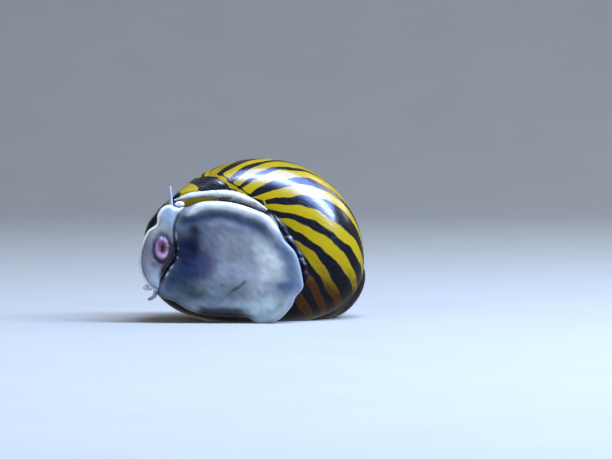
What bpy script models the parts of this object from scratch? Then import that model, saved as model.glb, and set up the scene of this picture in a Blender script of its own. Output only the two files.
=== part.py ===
"""Nerite snail, life size, as a still display model.

The sole faces -Y, the head points to -X and the coiled end of the shell lies at +X and +Y.
The animal stands on the lower edge of its foot and the underside of its shell, on the plane z = 0.
Every size below is in millimetres and is turned into metres when a mesh is made.
"""
import math

import bmesh
import bpy
import numpy as np

METRES = 0.001
GAP = 0.3

# Depths, measured from the plane of the sole towards the shell
SOLE_EDGE_DEPTH = 0.55
FOOT_BACK_DEPTH = 1.75
APERTURE_DEPTH = 3.3
APERTURE_RECESS = 2.4
SHELL_TOP_DEPTH = 17.6

# Shell, seen along Y: the widest outline about its centre line
SHELL_CENTRE = (0.98, 6.98)
SHELL_RIGHT, SHELL_LEFT = 11.9, 13.25
SHELL_UP, SHELL_DOWN = 11.85, 7.55
SHELL_ROUNDNESS_UP = 2.0
SHELL_ROUNDNESS_DOWN = 2.45
SHELL_DOME_ROUNDNESS = 2.15
SHELL_WIDEST_DEPTH = 7.6
SHELL_WIDEST_SWING = 2.4
SHELL_WIDEST_ANGLE = math.radians(15.0)
SHELL_DOME_LEAN = (-1.2, 1.0)

# Flare of the outer lip, beyond the widest outline, beside the head
LIP_FLARE = 0.75
LIP_FLARE_ANGLE = math.radians(162.0)
LIP_FLARE_SPREAD = math.radians(14.0)

# Mouth of the shell: a closed outline in its own plane, as (x, z)
APERTURE_OUTLINE = [
    (-12.2, 7.9), (-12.45, 10.6), (-11.3, 12.6), (-8.5, 14.8), (-4.6, 15.1), (-0.6, 14.5), (2.2, 12.6),
    (4.2, 9.9), (5.2, 7.2), (5.3, 4.4), (4.3, 1.9), (1.0, 0.35), (-3.6, 0.45),
    (-7.6, 1.7), (-10.8, 4.5),
]

# Coiled top of the shell: a low pointed dome with a coil that shrinks towards its tip
SPIRE_POINT = (9.5, 13.35, 3.2)
SPIRE_AXIS = (0.66, 0.52, -0.54)
SPIRE_DOME_RADIUS = 4.9
SPIRE_DOME_HEIGHT = 2.75
SPIRE_DOME_BASE = -1.3
SPIRE_DOME_ROUNDNESS = 1.75
SPIRE_TURNS = 2.3
SPIRE_SHRINK = 2.3
SPIRE_COIL_RADIUS = 2.9
SPIRE_TUBE_RADIUS = 1.55
SPIRE_TUBE_SEAT = 0.72
SPIRE_SWELL_TURNS = 0.45
SPIRE_SLICES = 3

# Foot, as (x, z) round the edge of the sole
FOOT_OUTLINE = [
    (-7.35, 13.35), (-5.75, 14.0), (-3.9, 14.1), (-1.85, 13.85), (0.2, 13.2), (1.95, 12.4),
    (3.05, 11.1), (3.85, 9.6), (5.0, 8.3), (5.55, 6.9), (5.9, 5.2), (5.95, 4.1),
    (5.1, 3.0), (4.6, 1.9), (3.3, 0.5), (2.0, -0.1), (0.7, -0.05), (-0.5, 0.65),
    (-3.0, 0.8), (-5.3, 0.95), (-7.4, 1.6), (-8.9, 2.5), (-10.2, 2.9), (-10.45, 3.9),
    (-10.0, 5.2), (-8.9, 6.7), (-8.45, 8.3), (-8.7, 9.9), (-8.75, 11.4), (-8.4, 12.4),
]
FOOT_CENTRE = (-2.4, 7.1)
COLUMN_CENTRE = (-3.6, 7.3)
COLUMN_HALF_WIDTH, COLUMN_HALF_HEIGHT = 4.4, 4.4

# Head, as (x, z) round the snout
HEAD_OUTLINE = [
    (-8.9, 12.35), (-8.72, 13.0), (-9.1, 13.35), (-9.4, 13.72), (-9.95, 13.62), (-10.5, 13.2),
    (-10.85, 12.4), (-10.95, 11.5),
    (-11.95, 10.7), (-12.6, 9.3), (-12.95, 7.8), (-12.85, 6.2), (-12.3, 4.9),
    (-11.6, 3.95), (-10.95, 3.75), (-10.6, 5.2), (-9.6, 6.7), (-9.1, 8.3), (-9.3, 9.9), (-9.35, 11.4),
]
HEAD_CENTRE = (-10.7, 8.3)
HEAD_BACK_DEPTH = 2.7
MOUTH_CENTRE = (-10.4, 8.65)
MOUTH_POCKET = (1.0, 1.45)
MOUTH_POCKET_DEPTH = 0.9
LIP_HALF_SIZE = (0.7, 1.15)
LIP_SLIT = (0.17, 0.62)
LIP_SLIT_DEPTH = 0.45

# Feelers and eyes
FEELER_BASE_RADIUS = 0.27
FEELER_TIP_RADIUS = 0.14
LEFT_FEELER_ROUTE = [(-9.3, 1.3, 14.0), (-9.32, 1.33, 14.6), (-9.37, 1.37, 15.2), (-9.4, 1.4, 15.85)]
RIGHT_FEELER_ROUTE = [
    (-11.2, 1.8, 3.2), (-11.5, 2.7, 2.85), (-11.9, 4.0, 2.6), (-12.1, 5.4, 2.5), (-11.8, 6.8, 2.6),
]
EYE_HALF_SIZE = (0.6, 0.5, 0.36)
LEFT_EYE_PLACE = (-8.3, 1.2, 13.72)
RIGHT_EYE_PLACE = (-12.05, 2.6, 4.0)

# Callus, a smooth white ridge on the inner lip, and the mantle's lumpy rim beside it
CALLUS_ROUTE = [(-8.7, 14.2), (-7.2, 14.65), (-4.4, 14.8), (-2.0, 14.6), (0.2, 13.9), (1.8, 13.0)]
CALLUS_HALF_WIDTH, CALLUS_HALF_DEPTH = 0.7, 0.42
MANTLE_ROUTE = [(2.5, 12.45), (3.45, 11.1), (4.35, 9.6), (5.2, 8.3), (5.85, 6.9), (6.15, 5.6), (6.2, 4.3)]
MANTLE_HALF_WIDTH, MANTLE_HALF_DEPTH = 0.42, 0.36
MANTLE_LUMPS = 6
BAND_DEPTH = 2.5

# Operculum, the door carried on the back of the foot
OPERCULUM_CENTRE = (3.3, 4.6)
OPERCULUM_HALF_SIZE = (1.9, 2.7)
OPERCULUM_DEPTHS = (2.3, 2.95)

COLOURS = {
    "shell": ((0.16, 0.11, 0.03), 0.2),
    "spire": ((0.45, 0.30, 0.22), 0.4),
    "callus": ((0.75, 0.77, 0.72), 0.25),
    "mantle": ((0.35, 0.33, 0.36), 0.4),
    "operculum": ((0.30, 0.12, 0.08), 0.35),
    "foot": ((0.34, 0.40, 0.55), 0.35),
    "head": ((0.55, 0.57, 0.66), 0.35),
    "lips": ((0.62, 0.30, 0.34), 0.4),
    "feeler": ((0.66, 0.64, 0.74), 0.4),
    "eye": ((0.10, 0.13, 0.30), 0.15),
}


def clear_scene():
    """Remove whatever the scene holds."""
    for old in list(bpy.data.objects):
        bpy.data.objects.remove(old, do_unlink=True)


def new_collection(name):
    """Make a collection under the scene's own."""
    made = bpy.data.collections.new(name)
    bpy.context.scene.collection.children.link(made)
    return made


def finish_material(name):
    """Principled material of a named finish."""
    colour, roughness = COLOURS[name]
    made = bpy.data.materials.new(name)
    made.use_nodes = True
    shader = made.node_tree.nodes["Principled BSDF"]
    shader.inputs["Base Color"].default_value = (*colour, 1.0)
    shader.inputs["Roughness"].default_value = roughness
    return made


def closed_spline(points, count):
    """Smooth closed line through the points: a Catmull-Rom spline at evenly spaced parameters."""
    knots = np.asarray(points, float)
    total = len(knots)
    place = np.arange(count) * total / count
    index = np.floor(place).astype(int)
    t = (place - index)[:, None]
    before, start, end, after = (knots[(index + step) % total] for step in (-1, 0, 1, 2))
    bend = (2 * start) + (end - before) * t
    bend += (2 * before - 5 * start + 4 * end - after) * t ** 2
    bend += (3 * start - before - 3 * end + after) * t ** 3
    return bend / 2


def open_spline(points, count):
    """Smooth open line through the points, with its end points doubled."""
    knots = np.asarray(points, float)
    knots = np.vstack([2 * knots[0] - knots[1], knots, 2 * knots[-1] - knots[-2]])
    place = np.linspace(0, len(knots) - 3, count)
    index = np.minimum(np.floor(place).astype(int), len(knots) - 4)
    t = (place - index)[:, None]
    before, start, end, after = (knots[index + step] for step in (0, 1, 2, 3))
    bend = (2 * start) + (end - before) * t
    bend += (2 * before - 5 * start + 4 * end - after) * t ** 2
    bend += (3 * start - before - 3 * end + after) * t ** 3
    return bend / 2


def radius_in_direction(outline, centre, angles):
    """Distance from the centre to a closed outline along each direction."""
    line = closed_spline(outline, 720) - np.asarray(centre)
    turn = np.arctan2(line[:, 1], line[:, 0])
    order = np.argsort(turn)
    reach = np.hypot(line[:, 0], line[:, 1])
    return np.interp(angles, turn[order], reach[order], period=2 * math.pi)


def loft(name, rings, collection, material):
    """Closed body through rings of equal length, with each end closed by a fan to its middle."""
    rings = [np.asarray(ring, float) for ring in rings]
    count = len(rings[0])
    first_middle = rings[0].mean(axis=0)
    last_middle = rings[-1].mean(axis=0)
    points = np.vstack(rings + [first_middle[None], last_middle[None]])
    points[:, 2] = np.maximum(points[:, 2], 0.0)
    faces = []
    for row in range(len(rings) - 1):
        for column in range(count):
            following = (column + 1) % count
            low, high = row * count, (row + 1) * count
            faces.append((low + column, low + following, high + following, high + column))
    start, end = len(points) - 2, len(points) - 1
    base = (len(rings) - 1) * count
    for column in range(count):
        following = (column + 1) % count
        faces.append((start, following, column))
        faces.append((end, base + column, base + following))
    mesh = bpy.data.meshes.new(name)
    mesh.from_pydata((points * METRES).tolist(), [], faces)
    shape = bmesh.new()
    shape.from_mesh(mesh)
    bmesh.ops.remove_doubles(shape, verts=shape.verts, dist=1e-6)
    bmesh.ops.recalc_face_normals(shape, faces=shape.faces)
    shape.to_mesh(mesh)
    shape.free()
    mesh.shade_smooth()
    made = bpy.data.objects.new(name, mesh)
    made.data.materials.append(material)
    collection.objects.link(made)
    return made


def as_cutter(body):
    """Mark a body as a cutter, which isn't part of the model."""
    body.hide_render = True
    body.display_type = "WIRE"
    return body


def cut(body, cutter):
    """Take the cutter's volume from a body."""
    step = body.modifiers.new("cut_" + cutter.name, "BOOLEAN")
    step.operation = "DIFFERENCE"
    step.solver = "EXACT"
    step.object = cutter


def apply_modifiers(body):
    """Replace a body's mesh by its evaluated one."""
    seen = body.evaluated_get(bpy.context.evaluated_depsgraph_get())
    mesh = bpy.data.meshes.new_from_object(seen)
    body.modifiers.clear()
    body.data = mesh


def keep_largest(body):
    """Keep a body's largest closed surface and drop loose scraps."""
    shape = bmesh.new()
    shape.from_mesh(body.data)
    left = set(shape.faces)
    groups = []
    while left:
        group = {left.pop()}
        edge_of_group = list(group)
        while edge_of_group:
            face = edge_of_group.pop()
            near = {other for edge in face.edges for other in edge.link_faces if other in left}
            left -= near
            group |= near
            edge_of_group.extend(near)
        groups.append(group)
    groups.sort(key=lambda group: sum(face.calc_area() for face in group))
    for group in groups[:-1]:
        bmesh.ops.delete(shape, geom=list(group), context="FACES")
    loose = [vertex for vertex in shape.verts if not vertex.link_faces]
    bmesh.ops.delete(shape, geom=loose, context="VERTS")
    shape.to_mesh(body.data)
    shape.free()


def join_bodies(name, pieces, material, target):
    """Fuse overlapping closed bodies into one by a single union, and remove them."""
    group = new_collection(name + "_pieces")
    for piece in pieces[1:]:
        for owner in list(piece.users_collection):
            owner.objects.unlink(piece)
        group.objects.link(piece)
    whole = pieces[0]
    step = whole.modifiers.new("union", "BOOLEAN")
    step.operation = "UNION"
    step.solver = "MANIFOLD"
    step.operand_type = "COLLECTION"
    step.collection = group
    apply_modifiers(whole)
    for piece in pieces[1:]:
        bpy.data.objects.remove(piece, do_unlink=True)
    bpy.data.collections.remove(group)
    whole.name = name
    for owner in list(whole.users_collection):
        owner.objects.unlink(whole)
    target.objects.link(whole)
    whole.data.materials.clear()
    whole.data.materials.append(material)
    keep_largest(whole)
    whole.data.shade_smooth()
    whole.data.set_sharp_from_angle(angle=math.radians(40))
    return whole


def quadrant_radius(angles, right, left, up, down):
    """Radius of an oval that has its own half-length on each of its four sides."""
    across = np.where(np.cos(angles) >= 0, right, left)
    along = np.where(np.sin(angles) >= 0, up, down)
    power = np.where(np.sin(angles) >= 0, SHELL_ROUNDNESS_UP, SHELL_ROUNDNESS_DOWN)
    reach = np.abs(np.cos(angles) / across) ** power + np.abs(np.sin(angles) / along) ** power
    return reach ** (-1 / power)


def shell_rings(around, belly_rows, dome_rows, offset=0.0):
    """Rings of the body whorl, from the plane of its mouth over the widest line to its back.

    Below the widest line the radius swells from the mouth's outline by a quarter of a sine,
    above it the radius falls to nothing by a rounded power.
    """
    angles = np.linspace(0, 2 * math.pi, around, endpoint=False)
    widest = quadrant_radius(angles, SHELL_RIGHT, SHELL_LEFT, SHELL_UP, SHELL_DOWN) + offset
    mouth = radius_in_direction(APERTURE_OUTLINE, SHELL_CENTRE, angles) + offset
    flare = LIP_FLARE * np.exp(-(((angles - LIP_FLARE_ANGLE) / LIP_FLARE_SPREAD) ** 2))
    mouth = np.minimum(mouth, widest + flare)
    swing = np.cos(angles - SHELL_WIDEST_ANGLE)
    widest_depth = SHELL_WIDEST_DEPTH + SHELL_WIDEST_SWING * swing
    top = SHELL_TOP_DEPTH + offset
    rings = []
    for share in np.linspace(0, 1, belly_rows):
        turn = share * math.pi / 2
        radius = mouth + (widest - mouth) * math.sin(turn)
        depth = APERTURE_DEPTH - offset + (widest_depth - APERTURE_DEPTH + offset) * (1 - math.cos(turn))
        rings.append(ring_at(angles, radius, depth, 0.0))
    for share in np.linspace(0, 1, dome_rows + 1)[1:-1]:
        turn = share * math.pi / 2
        radius = widest * math.cos(turn) ** (2 / SHELL_DOME_ROUNDNESS)
        lift = math.sin(turn) ** (2 / SHELL_DOME_ROUNDNESS)
        depth = widest_depth + (top - widest_depth) * lift
        rings.append(ring_at(angles, radius, depth, lift))
    return rings


def ring_at(angles, radius, depth, lean):
    """One ring about the shell's centre line, which leans towards the back of the dome."""
    x = SHELL_CENTRE[0] + SHELL_DOME_LEAN[0] * lean ** 2 + radius * np.cos(angles)
    z = SHELL_CENTRE[1] + SHELL_DOME_LEAN[1] * lean ** 2 + radius * np.sin(angles)
    return np.stack([x, depth * np.ones_like(x), z], axis=1)


def spire_directions():
    """Axis of the coil and two directions across it."""
    axis = np.asarray(SPIRE_AXIS)
    axis = axis / np.linalg.norm(axis)
    side = np.cross(axis, (0.0, 0.0, 1.0))
    side = side / np.linalg.norm(side)
    return axis, side, np.cross(axis, side)


def dome_height(reach):
    """Height of the pointed dome at a distance from its axis."""
    share = np.clip(reach / SPIRE_DOME_RADIUS, 0.0, 1.0) ** SPIRE_DOME_ROUNDNESS
    return SPIRE_DOME_BASE + SPIRE_DOME_HEIGHT * (1 - share) ** (1 / SPIRE_DOME_ROUNDNESS)


def coil_path(turns):
    """Middle line and tube radius of the coil, which lies on the dome and shrinks at each turn."""
    axis, side, across = spire_directions()
    shrink = SPIRE_SHRINK ** (-turns)
    swell = np.clip((turns + SPIRE_SWELL_TURNS) / SPIRE_SWELL_TURNS, 0.0, 1.0)
    tube = SPIRE_TUBE_RADIUS * shrink * (0.25 + 0.75 * np.sin(swell * math.pi / 2))
    angle = 2 * math.pi * turns
    reach = SPIRE_COIL_RADIUS * np.minimum(shrink, 1.0 + 0.05 * (shrink - 1.0))
    rise = dome_height(reach) - SPIRE_TUBE_SEAT * tube
    middle = np.asarray(SPIRE_POINT) + rise[:, None] * axis
    middle = middle + (reach * np.cos(angle))[:, None] * side
    middle = middle + (reach * np.sin(angle))[:, None] * across
    return middle, tube


def spire_dome_rings(around):
    """Rings of the pointed dome that the coil lies on, from its sunk foot to its top."""
    axis, side, across = spire_directions()
    turn = np.linspace(0, 2 * math.pi, around, endpoint=False)
    circle = np.cos(turn)[:, None] * side + np.sin(turn)[:, None] * across
    rings = []
    for reach in SPIRE_DOME_RADIUS * np.sin(np.linspace(math.pi / 2, 0.06, 10)):
        rings.append(np.asarray(SPIRE_POINT) + dome_height(reach) * axis + reach * circle)
    rings.insert(0, rings[0] - SPIRE_TUBE_RADIUS * axis)
    return rings


def tube_rings(middle, radius, sides, depth_share=1.0):
    """Rings of a round tube along a line; depth_share flattens it along Y."""
    ahead = np.gradient(middle, axis=0)
    ahead = ahead / np.linalg.norm(ahead, axis=1)[:, None]
    guide = np.array((0.0, 1.0, 0.0))
    if abs(ahead[:, 1]).max() > 0.95:
        guide = np.array((0.0, 0.0, 1.0))
    first = np.cross(ahead, guide)
    first = first / np.linalg.norm(first, axis=1)[:, None]
    second = np.cross(ahead, first)
    rings = []
    turn = np.linspace(0, 2 * math.pi, sides, endpoint=False)
    for index, centre in enumerate(middle):
        flat = np.cos(turn)[:, None] * first[index] + depth_share * np.sin(turn)[:, None] * second[index]
        rings.append(centre + radius[index] * flat)
    return rings


def build_shell(model, cutters, finishes):
    """Body whorl with the recess behind its mouth."""
    body = loft("shell_body_whorl", shell_rings(72, 9, 14), model, finishes["shell"])
    turn = np.linspace(0, 2 * math.pi, 48, endpoint=False)
    rings = []
    for depth in (APERTURE_DEPTH - 1.0, APERTURE_DEPTH + APERTURE_RECESS + GAP):
        x = COLUMN_CENTRE[0] + (COLUMN_HALF_WIDTH + GAP) * np.cos(turn)
        z = COLUMN_CENTRE[1] + (COLUMN_HALF_HEIGHT + GAP) * np.sin(turn)
        rings.append(np.stack([x, np.full_like(x, depth), z], axis=1))
    recess = as_cutter(loft("recess_cutter", rings, cutters, finishes["shell"]))
    cut(body, recess)
    apply_modifiers(body)
    keep_largest(body)
    body.data.shade_smooth()
    body.data.set_sharp_from_angle(angle=math.radians(40))
    bpy.data.objects.remove(recess, do_unlink=True)


def build_spire(model, cutters, finishes):
    """Coiled tip, seated on the body whorl with a thin parting gap."""
    pieces = [loft("coil_dome", spire_dome_rings(40), model, finishes["spire"])]
    share = (SPIRE_TURNS + SPIRE_SWELL_TURNS) / SPIRE_SLICES
    for index in range(SPIRE_SLICES):
        start = index * share - SPIRE_SWELL_TURNS
        middle, tube = coil_path(np.linspace(start - 0.02, start + share, 16))
        pieces.append(loft(f"coil_{index}", tube_rings(middle, tube, 16), model, finishes["spire"]))
    spire = join_bodies("shell_spire", pieces, finishes["spire"], model)
    seat = as_cutter(loft("seat_cutter", shell_rings(72, 9, 14, GAP), cutters, finishes["shell"]))
    cut(spire, seat)
    apply_modifiers(spire)
    keep_largest(spire)
    bpy.data.objects.remove(seat, do_unlink=True)


def build_foot(model, finishes):
    """Sole with a rounded edge, and the column that enters the shell."""
    outline = closed_spline(FOOT_OUTLINE, 72)
    centre = np.asarray(FOOT_CENTRE)
    turn = np.arctan2(*(outline - centre).T[::-1])
    column = np.stack([COLUMN_HALF_WIDTH * np.cos(turn), COLUMN_HALF_HEIGHT * np.sin(turn)], axis=1)
    column = column + np.asarray(COLUMN_CENTRE)
    edge = [(0.45, 0.0), (0.86, 0.0), (0.965, 0.12), (1.0, SOLE_EDGE_DEPTH), (0.985, 1.1), (0.94, 1.5)]
    rings = []
    for scale, depth in edge:
        flat = centre + (outline - centre) * scale
        rings.append(np.stack([flat[:, 0], np.full(len(flat), depth), flat[:, 1]], axis=1))
    top = APERTURE_DEPTH + APERTURE_RECESS
    waist = [(0.2, FOOT_BACK_DEPTH), (0.62, 1.95), (0.93, 2.2), (1.0, APERTURE_DEPTH), (1.0, top)]
    for share, depth in waist:
        flat = outline * (1 - share) + column * share
        rings.append(np.stack([flat[:, 0], np.full(len(flat), depth), flat[:, 1]], axis=1))
    loft("foot", rings, model, finishes["foot"])


def build_head(model, cutters, finishes):
    """Snout with the pocket of the mouth, and the lips inside it."""
    outline = closed_spline(HEAD_OUTLINE, 60)
    centre = np.asarray(HEAD_CENTRE)
    rows = [(0.3, -0.0), (0.7, 0.02), (0.9, 0.18), (0.98, 0.5), (1.0, 0.9), (0.98, 1.6), (0.9, 2.3)]
    rows.append((0.7, HEAD_BACK_DEPTH))
    rings = []
    for scale, depth in rows:
        flat = centre + (outline - centre) * scale
        rings.append(np.stack([flat[:, 0], np.full(len(flat), depth), flat[:, 1]], axis=1))
    head = loft("head", rings, model, finishes["head"])
    reach = (-0.5, MOUTH_POCKET_DEPTH)
    pocket = oval_plug("mouth_cutter", MOUTH_CENTRE, MOUTH_POCKET, reach, cutters, finishes["head"])
    cut(head, as_cutter(pocket))
    apply_modifiers(head)
    keep_largest(head)
    bpy.data.objects.remove(pocket, do_unlink=True)
    reach = (0.02, MOUTH_POCKET_DEPTH - GAP)
    lips = oval_pad("mouth_lips", MOUTH_CENTRE, LIP_HALF_SIZE, reach, model, finishes["lips"])
    reach = (-0.5, LIP_SLIT_DEPTH)
    slit = oval_plug("slit_cutter", MOUTH_CENTRE, LIP_SLIT, reach, cutters, finishes["lips"])
    cut(lips, as_cutter(slit))
    apply_modifiers(lips)
    bpy.data.objects.remove(slit, do_unlink=True)


def oval_plug(name, centre, half_size, depths, collection, material):
    """Straight oval bar along Y."""
    turn = np.linspace(0, 2 * math.pi, 32, endpoint=False)
    x = centre[0] + half_size[0] * np.cos(turn)
    z = centre[1] + half_size[1] * np.sin(turn)
    rings = [np.stack([x, np.full_like(x, depth), z], axis=1) for depth in depths]
    return loft(name, rings, collection, material)


def oval_pad(name, centre, half_size, depths, collection, material):
    """Oval pad along Y with a rounded front edge."""
    turn = np.linspace(0, 2 * math.pi, 32, endpoint=False)
    front, back = depths
    rings = []
    for scale, share in ((0.62, 0.0), (0.85, 0.08), (0.97, 0.35), (1.0, 0.7), (0.95, 1.0)):
        x = centre[0] + scale * half_size[0] * np.cos(turn)
        z = centre[1] + scale * half_size[1] * np.sin(turn)
        rings.append(np.stack([x, np.full_like(x, front + (back - front) * share), z], axis=1))
    return loft(name, rings, collection, material)


def build_feelers(model, finishes):
    """Two thin feelers: one stands up beside the shell, the other is tucked back under its rim."""
    for name, route in (("tentacle_left", LEFT_FEELER_ROUTE), ("tentacle_right", RIGHT_FEELER_ROUTE)):
        middle = open_spline(route, 14)
        radius = np.linspace(FEELER_BASE_RADIUS, FEELER_TIP_RADIUS, 14)
        radius[-1] = FEELER_TIP_RADIUS / 2
        loft(name, tube_rings(middle, radius, 12), model, finishes["feeler"])


def build_eyes(model, finishes):
    """Small eye bulbs at the feet of the feelers."""
    for name, place in (("eye_left", LEFT_EYE_PLACE), ("eye_right", RIGHT_EYE_PLACE)):
        shape = bmesh.new()
        bmesh.ops.create_uvsphere(shape, u_segments=20, v_segments=12, radius=METRES)
        bmesh.ops.scale(shape, vec=EYE_HALF_SIZE, verts=shape.verts)
        bmesh.ops.translate(shape, vec=[value * METRES for value in place], verts=shape.verts)
        mesh = bpy.data.meshes.new(name)
        shape.to_mesh(mesh)
        shape.free()
        mesh.shade_smooth()
        made = bpy.data.objects.new(name, mesh)
        made.data.materials.append(finishes["eye"])
        model.objects.link(made)


def build_bands(model, finishes):
    """Callus ridge on the inner lip, and the lumpy rim of the mantle that follows it."""
    for name, route, width, thick, lumps in (
        ("callus", CALLUS_ROUTE, CALLUS_HALF_WIDTH, CALLUS_HALF_DEPTH, 0),
        ("mantle_edge", MANTLE_ROUTE, MANTLE_HALF_WIDTH, MANTLE_HALF_DEPTH, MANTLE_LUMPS),
    ):
        count = 40
        flat = open_spline(route, count)
        middle = np.stack([flat[:, 0], np.full(count, BAND_DEPTH), flat[:, 1]], axis=1)
        share = np.linspace(0, 1, count)
        radius = width * np.clip(4 * np.minimum(share, 1 - share) + 0.35, 0, 1)
        radius = radius * (1 + 0.22 * np.sin(2 * math.pi * lumps * share))
        rings = tube_rings(middle, radius, 14, thick / width)
        loft(name, rings, model, finishes["callus" if name == "callus" else "mantle"])


def build_operculum(model, finishes):
    """Thin hard door on the back of the foot."""
    finish = finishes["operculum"]
    oval_pad("operculum", OPERCULUM_CENTRE, OPERCULUM_HALF_SIZE, OPERCULUM_DEPTHS, model, finish)


def centre_on_floor(model):
    """Shift every body in X and Y so that the model stands over the origin."""
    corners = []
    for body in model.objects:
        count = len(body.data.vertices)
        points = np.empty(count * 3)
        body.data.vertices.foreach_get("co", points)
        corners.append(points.reshape(-1, 3))
    points = np.vstack(corners)
    middle = (points.min(axis=0) + points.max(axis=0)) / 2
    for body in model.objects:
        for vertex in body.data.vertices:
            vertex.co.x -= middle[0]
            vertex.co.y -= middle[1]


def main():
    """Build every part of the snail."""
    clear_scene()
    model = new_collection("nerite_snail")
    cutters = new_collection("cutters")
    finishes = {name: finish_material(name) for name in COLOURS}
    build_shell(model, cutters, finishes)
    build_spire(model, cutters, finishes)
    build_bands(model, finishes)
    build_operculum(model, finishes)
    build_foot(model, finishes)
    build_head(model, cutters, finishes)
    build_feelers(model, finishes)
    build_eyes(model, finishes)
    centre_on_floor(model)


main()
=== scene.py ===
"""Looks of a life-size nerite snail: striped shell, wet blue-grey flesh, mouth, feelers and eyes.

Shapes are worked out in the animal's own millimetres: x along the animal, head at -x, y away from
the plane of the sole, z up from the ground. Placement turns them into the model's metres.
"""
import logging
import math
from dataclasses import dataclass, field
from enum import Enum
from typing import Callable

import bpy
import numpy as np
from mathutils import Euler, Matrix, Vector


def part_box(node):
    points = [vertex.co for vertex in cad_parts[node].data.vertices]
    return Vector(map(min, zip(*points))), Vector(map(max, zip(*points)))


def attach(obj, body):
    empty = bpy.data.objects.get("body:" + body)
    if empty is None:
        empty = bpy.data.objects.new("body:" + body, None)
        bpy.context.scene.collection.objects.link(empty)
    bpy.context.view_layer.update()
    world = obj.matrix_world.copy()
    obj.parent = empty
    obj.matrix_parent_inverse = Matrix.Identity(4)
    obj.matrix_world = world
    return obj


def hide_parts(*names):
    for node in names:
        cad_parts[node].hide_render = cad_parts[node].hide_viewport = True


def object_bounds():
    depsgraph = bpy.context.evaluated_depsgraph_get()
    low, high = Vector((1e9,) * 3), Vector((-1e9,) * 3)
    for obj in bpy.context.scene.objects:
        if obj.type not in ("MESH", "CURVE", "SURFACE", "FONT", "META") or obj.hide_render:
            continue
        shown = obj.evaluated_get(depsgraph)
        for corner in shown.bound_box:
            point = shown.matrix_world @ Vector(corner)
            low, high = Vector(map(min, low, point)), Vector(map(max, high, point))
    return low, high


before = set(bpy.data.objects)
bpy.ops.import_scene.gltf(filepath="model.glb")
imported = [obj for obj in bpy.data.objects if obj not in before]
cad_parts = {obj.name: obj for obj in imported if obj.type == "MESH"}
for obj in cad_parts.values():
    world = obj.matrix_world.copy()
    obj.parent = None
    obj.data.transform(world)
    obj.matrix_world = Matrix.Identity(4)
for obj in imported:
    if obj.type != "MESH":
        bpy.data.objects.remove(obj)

CAD_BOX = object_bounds()
LOG = logging.getLogger("nerite")
METRES = 0.001
SEED = 7
Array = np.ndarray
Pair = tuple[float, float]
Triple = tuple[float, float, float]
Socket = bpy.types.NodeSocket


class Side(Enum):
    """Which of a paired organ's two sides."""

    LEFT = "left"
    RIGHT = "right"


# Shared mathematics


def smooth(value: Array, low: float, high: float) -> Array:
    """Ease from 0 at low to 1 at high.

    Args:
        value: Numbers to ease.
        low: Value that gives 0.
        high: Value that gives 1.

    Returns:
        The cubic 3t^2 - 2t^3 of the clipped share t.
    """
    share = np.clip((value - low) / (high - low), 0.0, 1.0)
    return share * share * (3.0 - 2.0 * share)


def hill(value: Array, centre: float, width: float) -> Array:
    """Bell curve of height 1: exp(-((value - centre) / width)^2)."""
    return np.exp(-(((value - centre) / width) ** 2))


def window(value: Array, rise: Pair, fall: Pair) -> Array:
    """1 between two limits: it eases up from 0 over the rise and down to 0 over the fall."""
    return smooth(value, *rise) * (1 - smooth(value, *fall))


def oval(x: Array, z: Array, centre: Pair, half_size: Pair, edge: Pair) -> Array:
    """1 inside an oval, easing to 0 over the edge, which is given in shares of the half size."""
    return 1 - smooth(np.hypot((x - centre[0]) / half_size[0], (z - centre[1]) / half_size[1]), *edge)


def spline(points: list, count: int, closed: bool) -> Array:
    """Catmull-Rom line through a few points.

    Args:
        points: Knots of the line.
        count: How many points to return.
        closed: Whether the line joins its own start.

    Returns:
        Points at even parameters; each is a cubic of the four knots round it.
    """
    knots = np.asarray(points, float)
    if not closed:
        knots = np.vstack([2 * knots[0] - knots[1], knots, 2 * knots[-1] - knots[-2]])
    total = len(knots)
    if closed:
        place = np.arange(count) * total / count
        index = np.floor(place).astype(int)
        steps = (-1, 0, 1, 2)
    else:
        place = np.linspace(0, total - 3, count)
        index = np.minimum(np.floor(place).astype(int), total - 4)
        steps = (0, 1, 2, 3)
    t = (place - index)[:, None]
    before, start, end, after = (knots[(index + step) % total] for step in steps)
    bend = 2 * start + (end - before) * t
    bend += (2 * before - 5 * start + 4 * end - after) * t**2
    bend += (3 * start - before - 3 * end + after) * t**3
    return bend / 2


def unit(vectors: Array) -> Array:
    """Vectors divided by their own length, along the last axis."""
    return vectors / np.linalg.norm(vectors, axis=-1, keepdims=True)


def lay(colour: Array, share: Array, shade: object) -> Array:
    """Cover a colour with a shade: colour * (1 - share) + shade * share, at each place."""
    return colour * (1 - share[..., None]) + np.asarray(shade) * share[..., None]


def lay_all(colour: Array, layers: list[tuple[Array, Triple]]) -> Array:
    """Cover a colour with one shade after another.

    Args:
        colour: Colour of each place.
        layers: Share and shade of each layer, the lowest first.

    Returns:
        The covered colour of each place.
    """
    for share, shade in layers:
        colour = lay(colour, share, shade)
    return colour


def reach_of(outline: Array, centre: Pair, angles: Array) -> Array:
    """Distance from a centre to a closed outline along each direction.

    Args:
        outline: Points of the outline, one per row.
        centre: Point inside the outline.
        angles: Directions in radians.

    Returns:
        One distance per direction, between the outline's points in even steps of angle.
    """
    line = outline - np.asarray(centre)
    turn = np.arctan2(line[:, 1], line[:, 0])
    order = np.argsort(turn)
    reach = np.hypot(line[:, 0], line[:, 1])
    return np.interp(angles, turn[order], reach[order], period=2 * math.pi)


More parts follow.
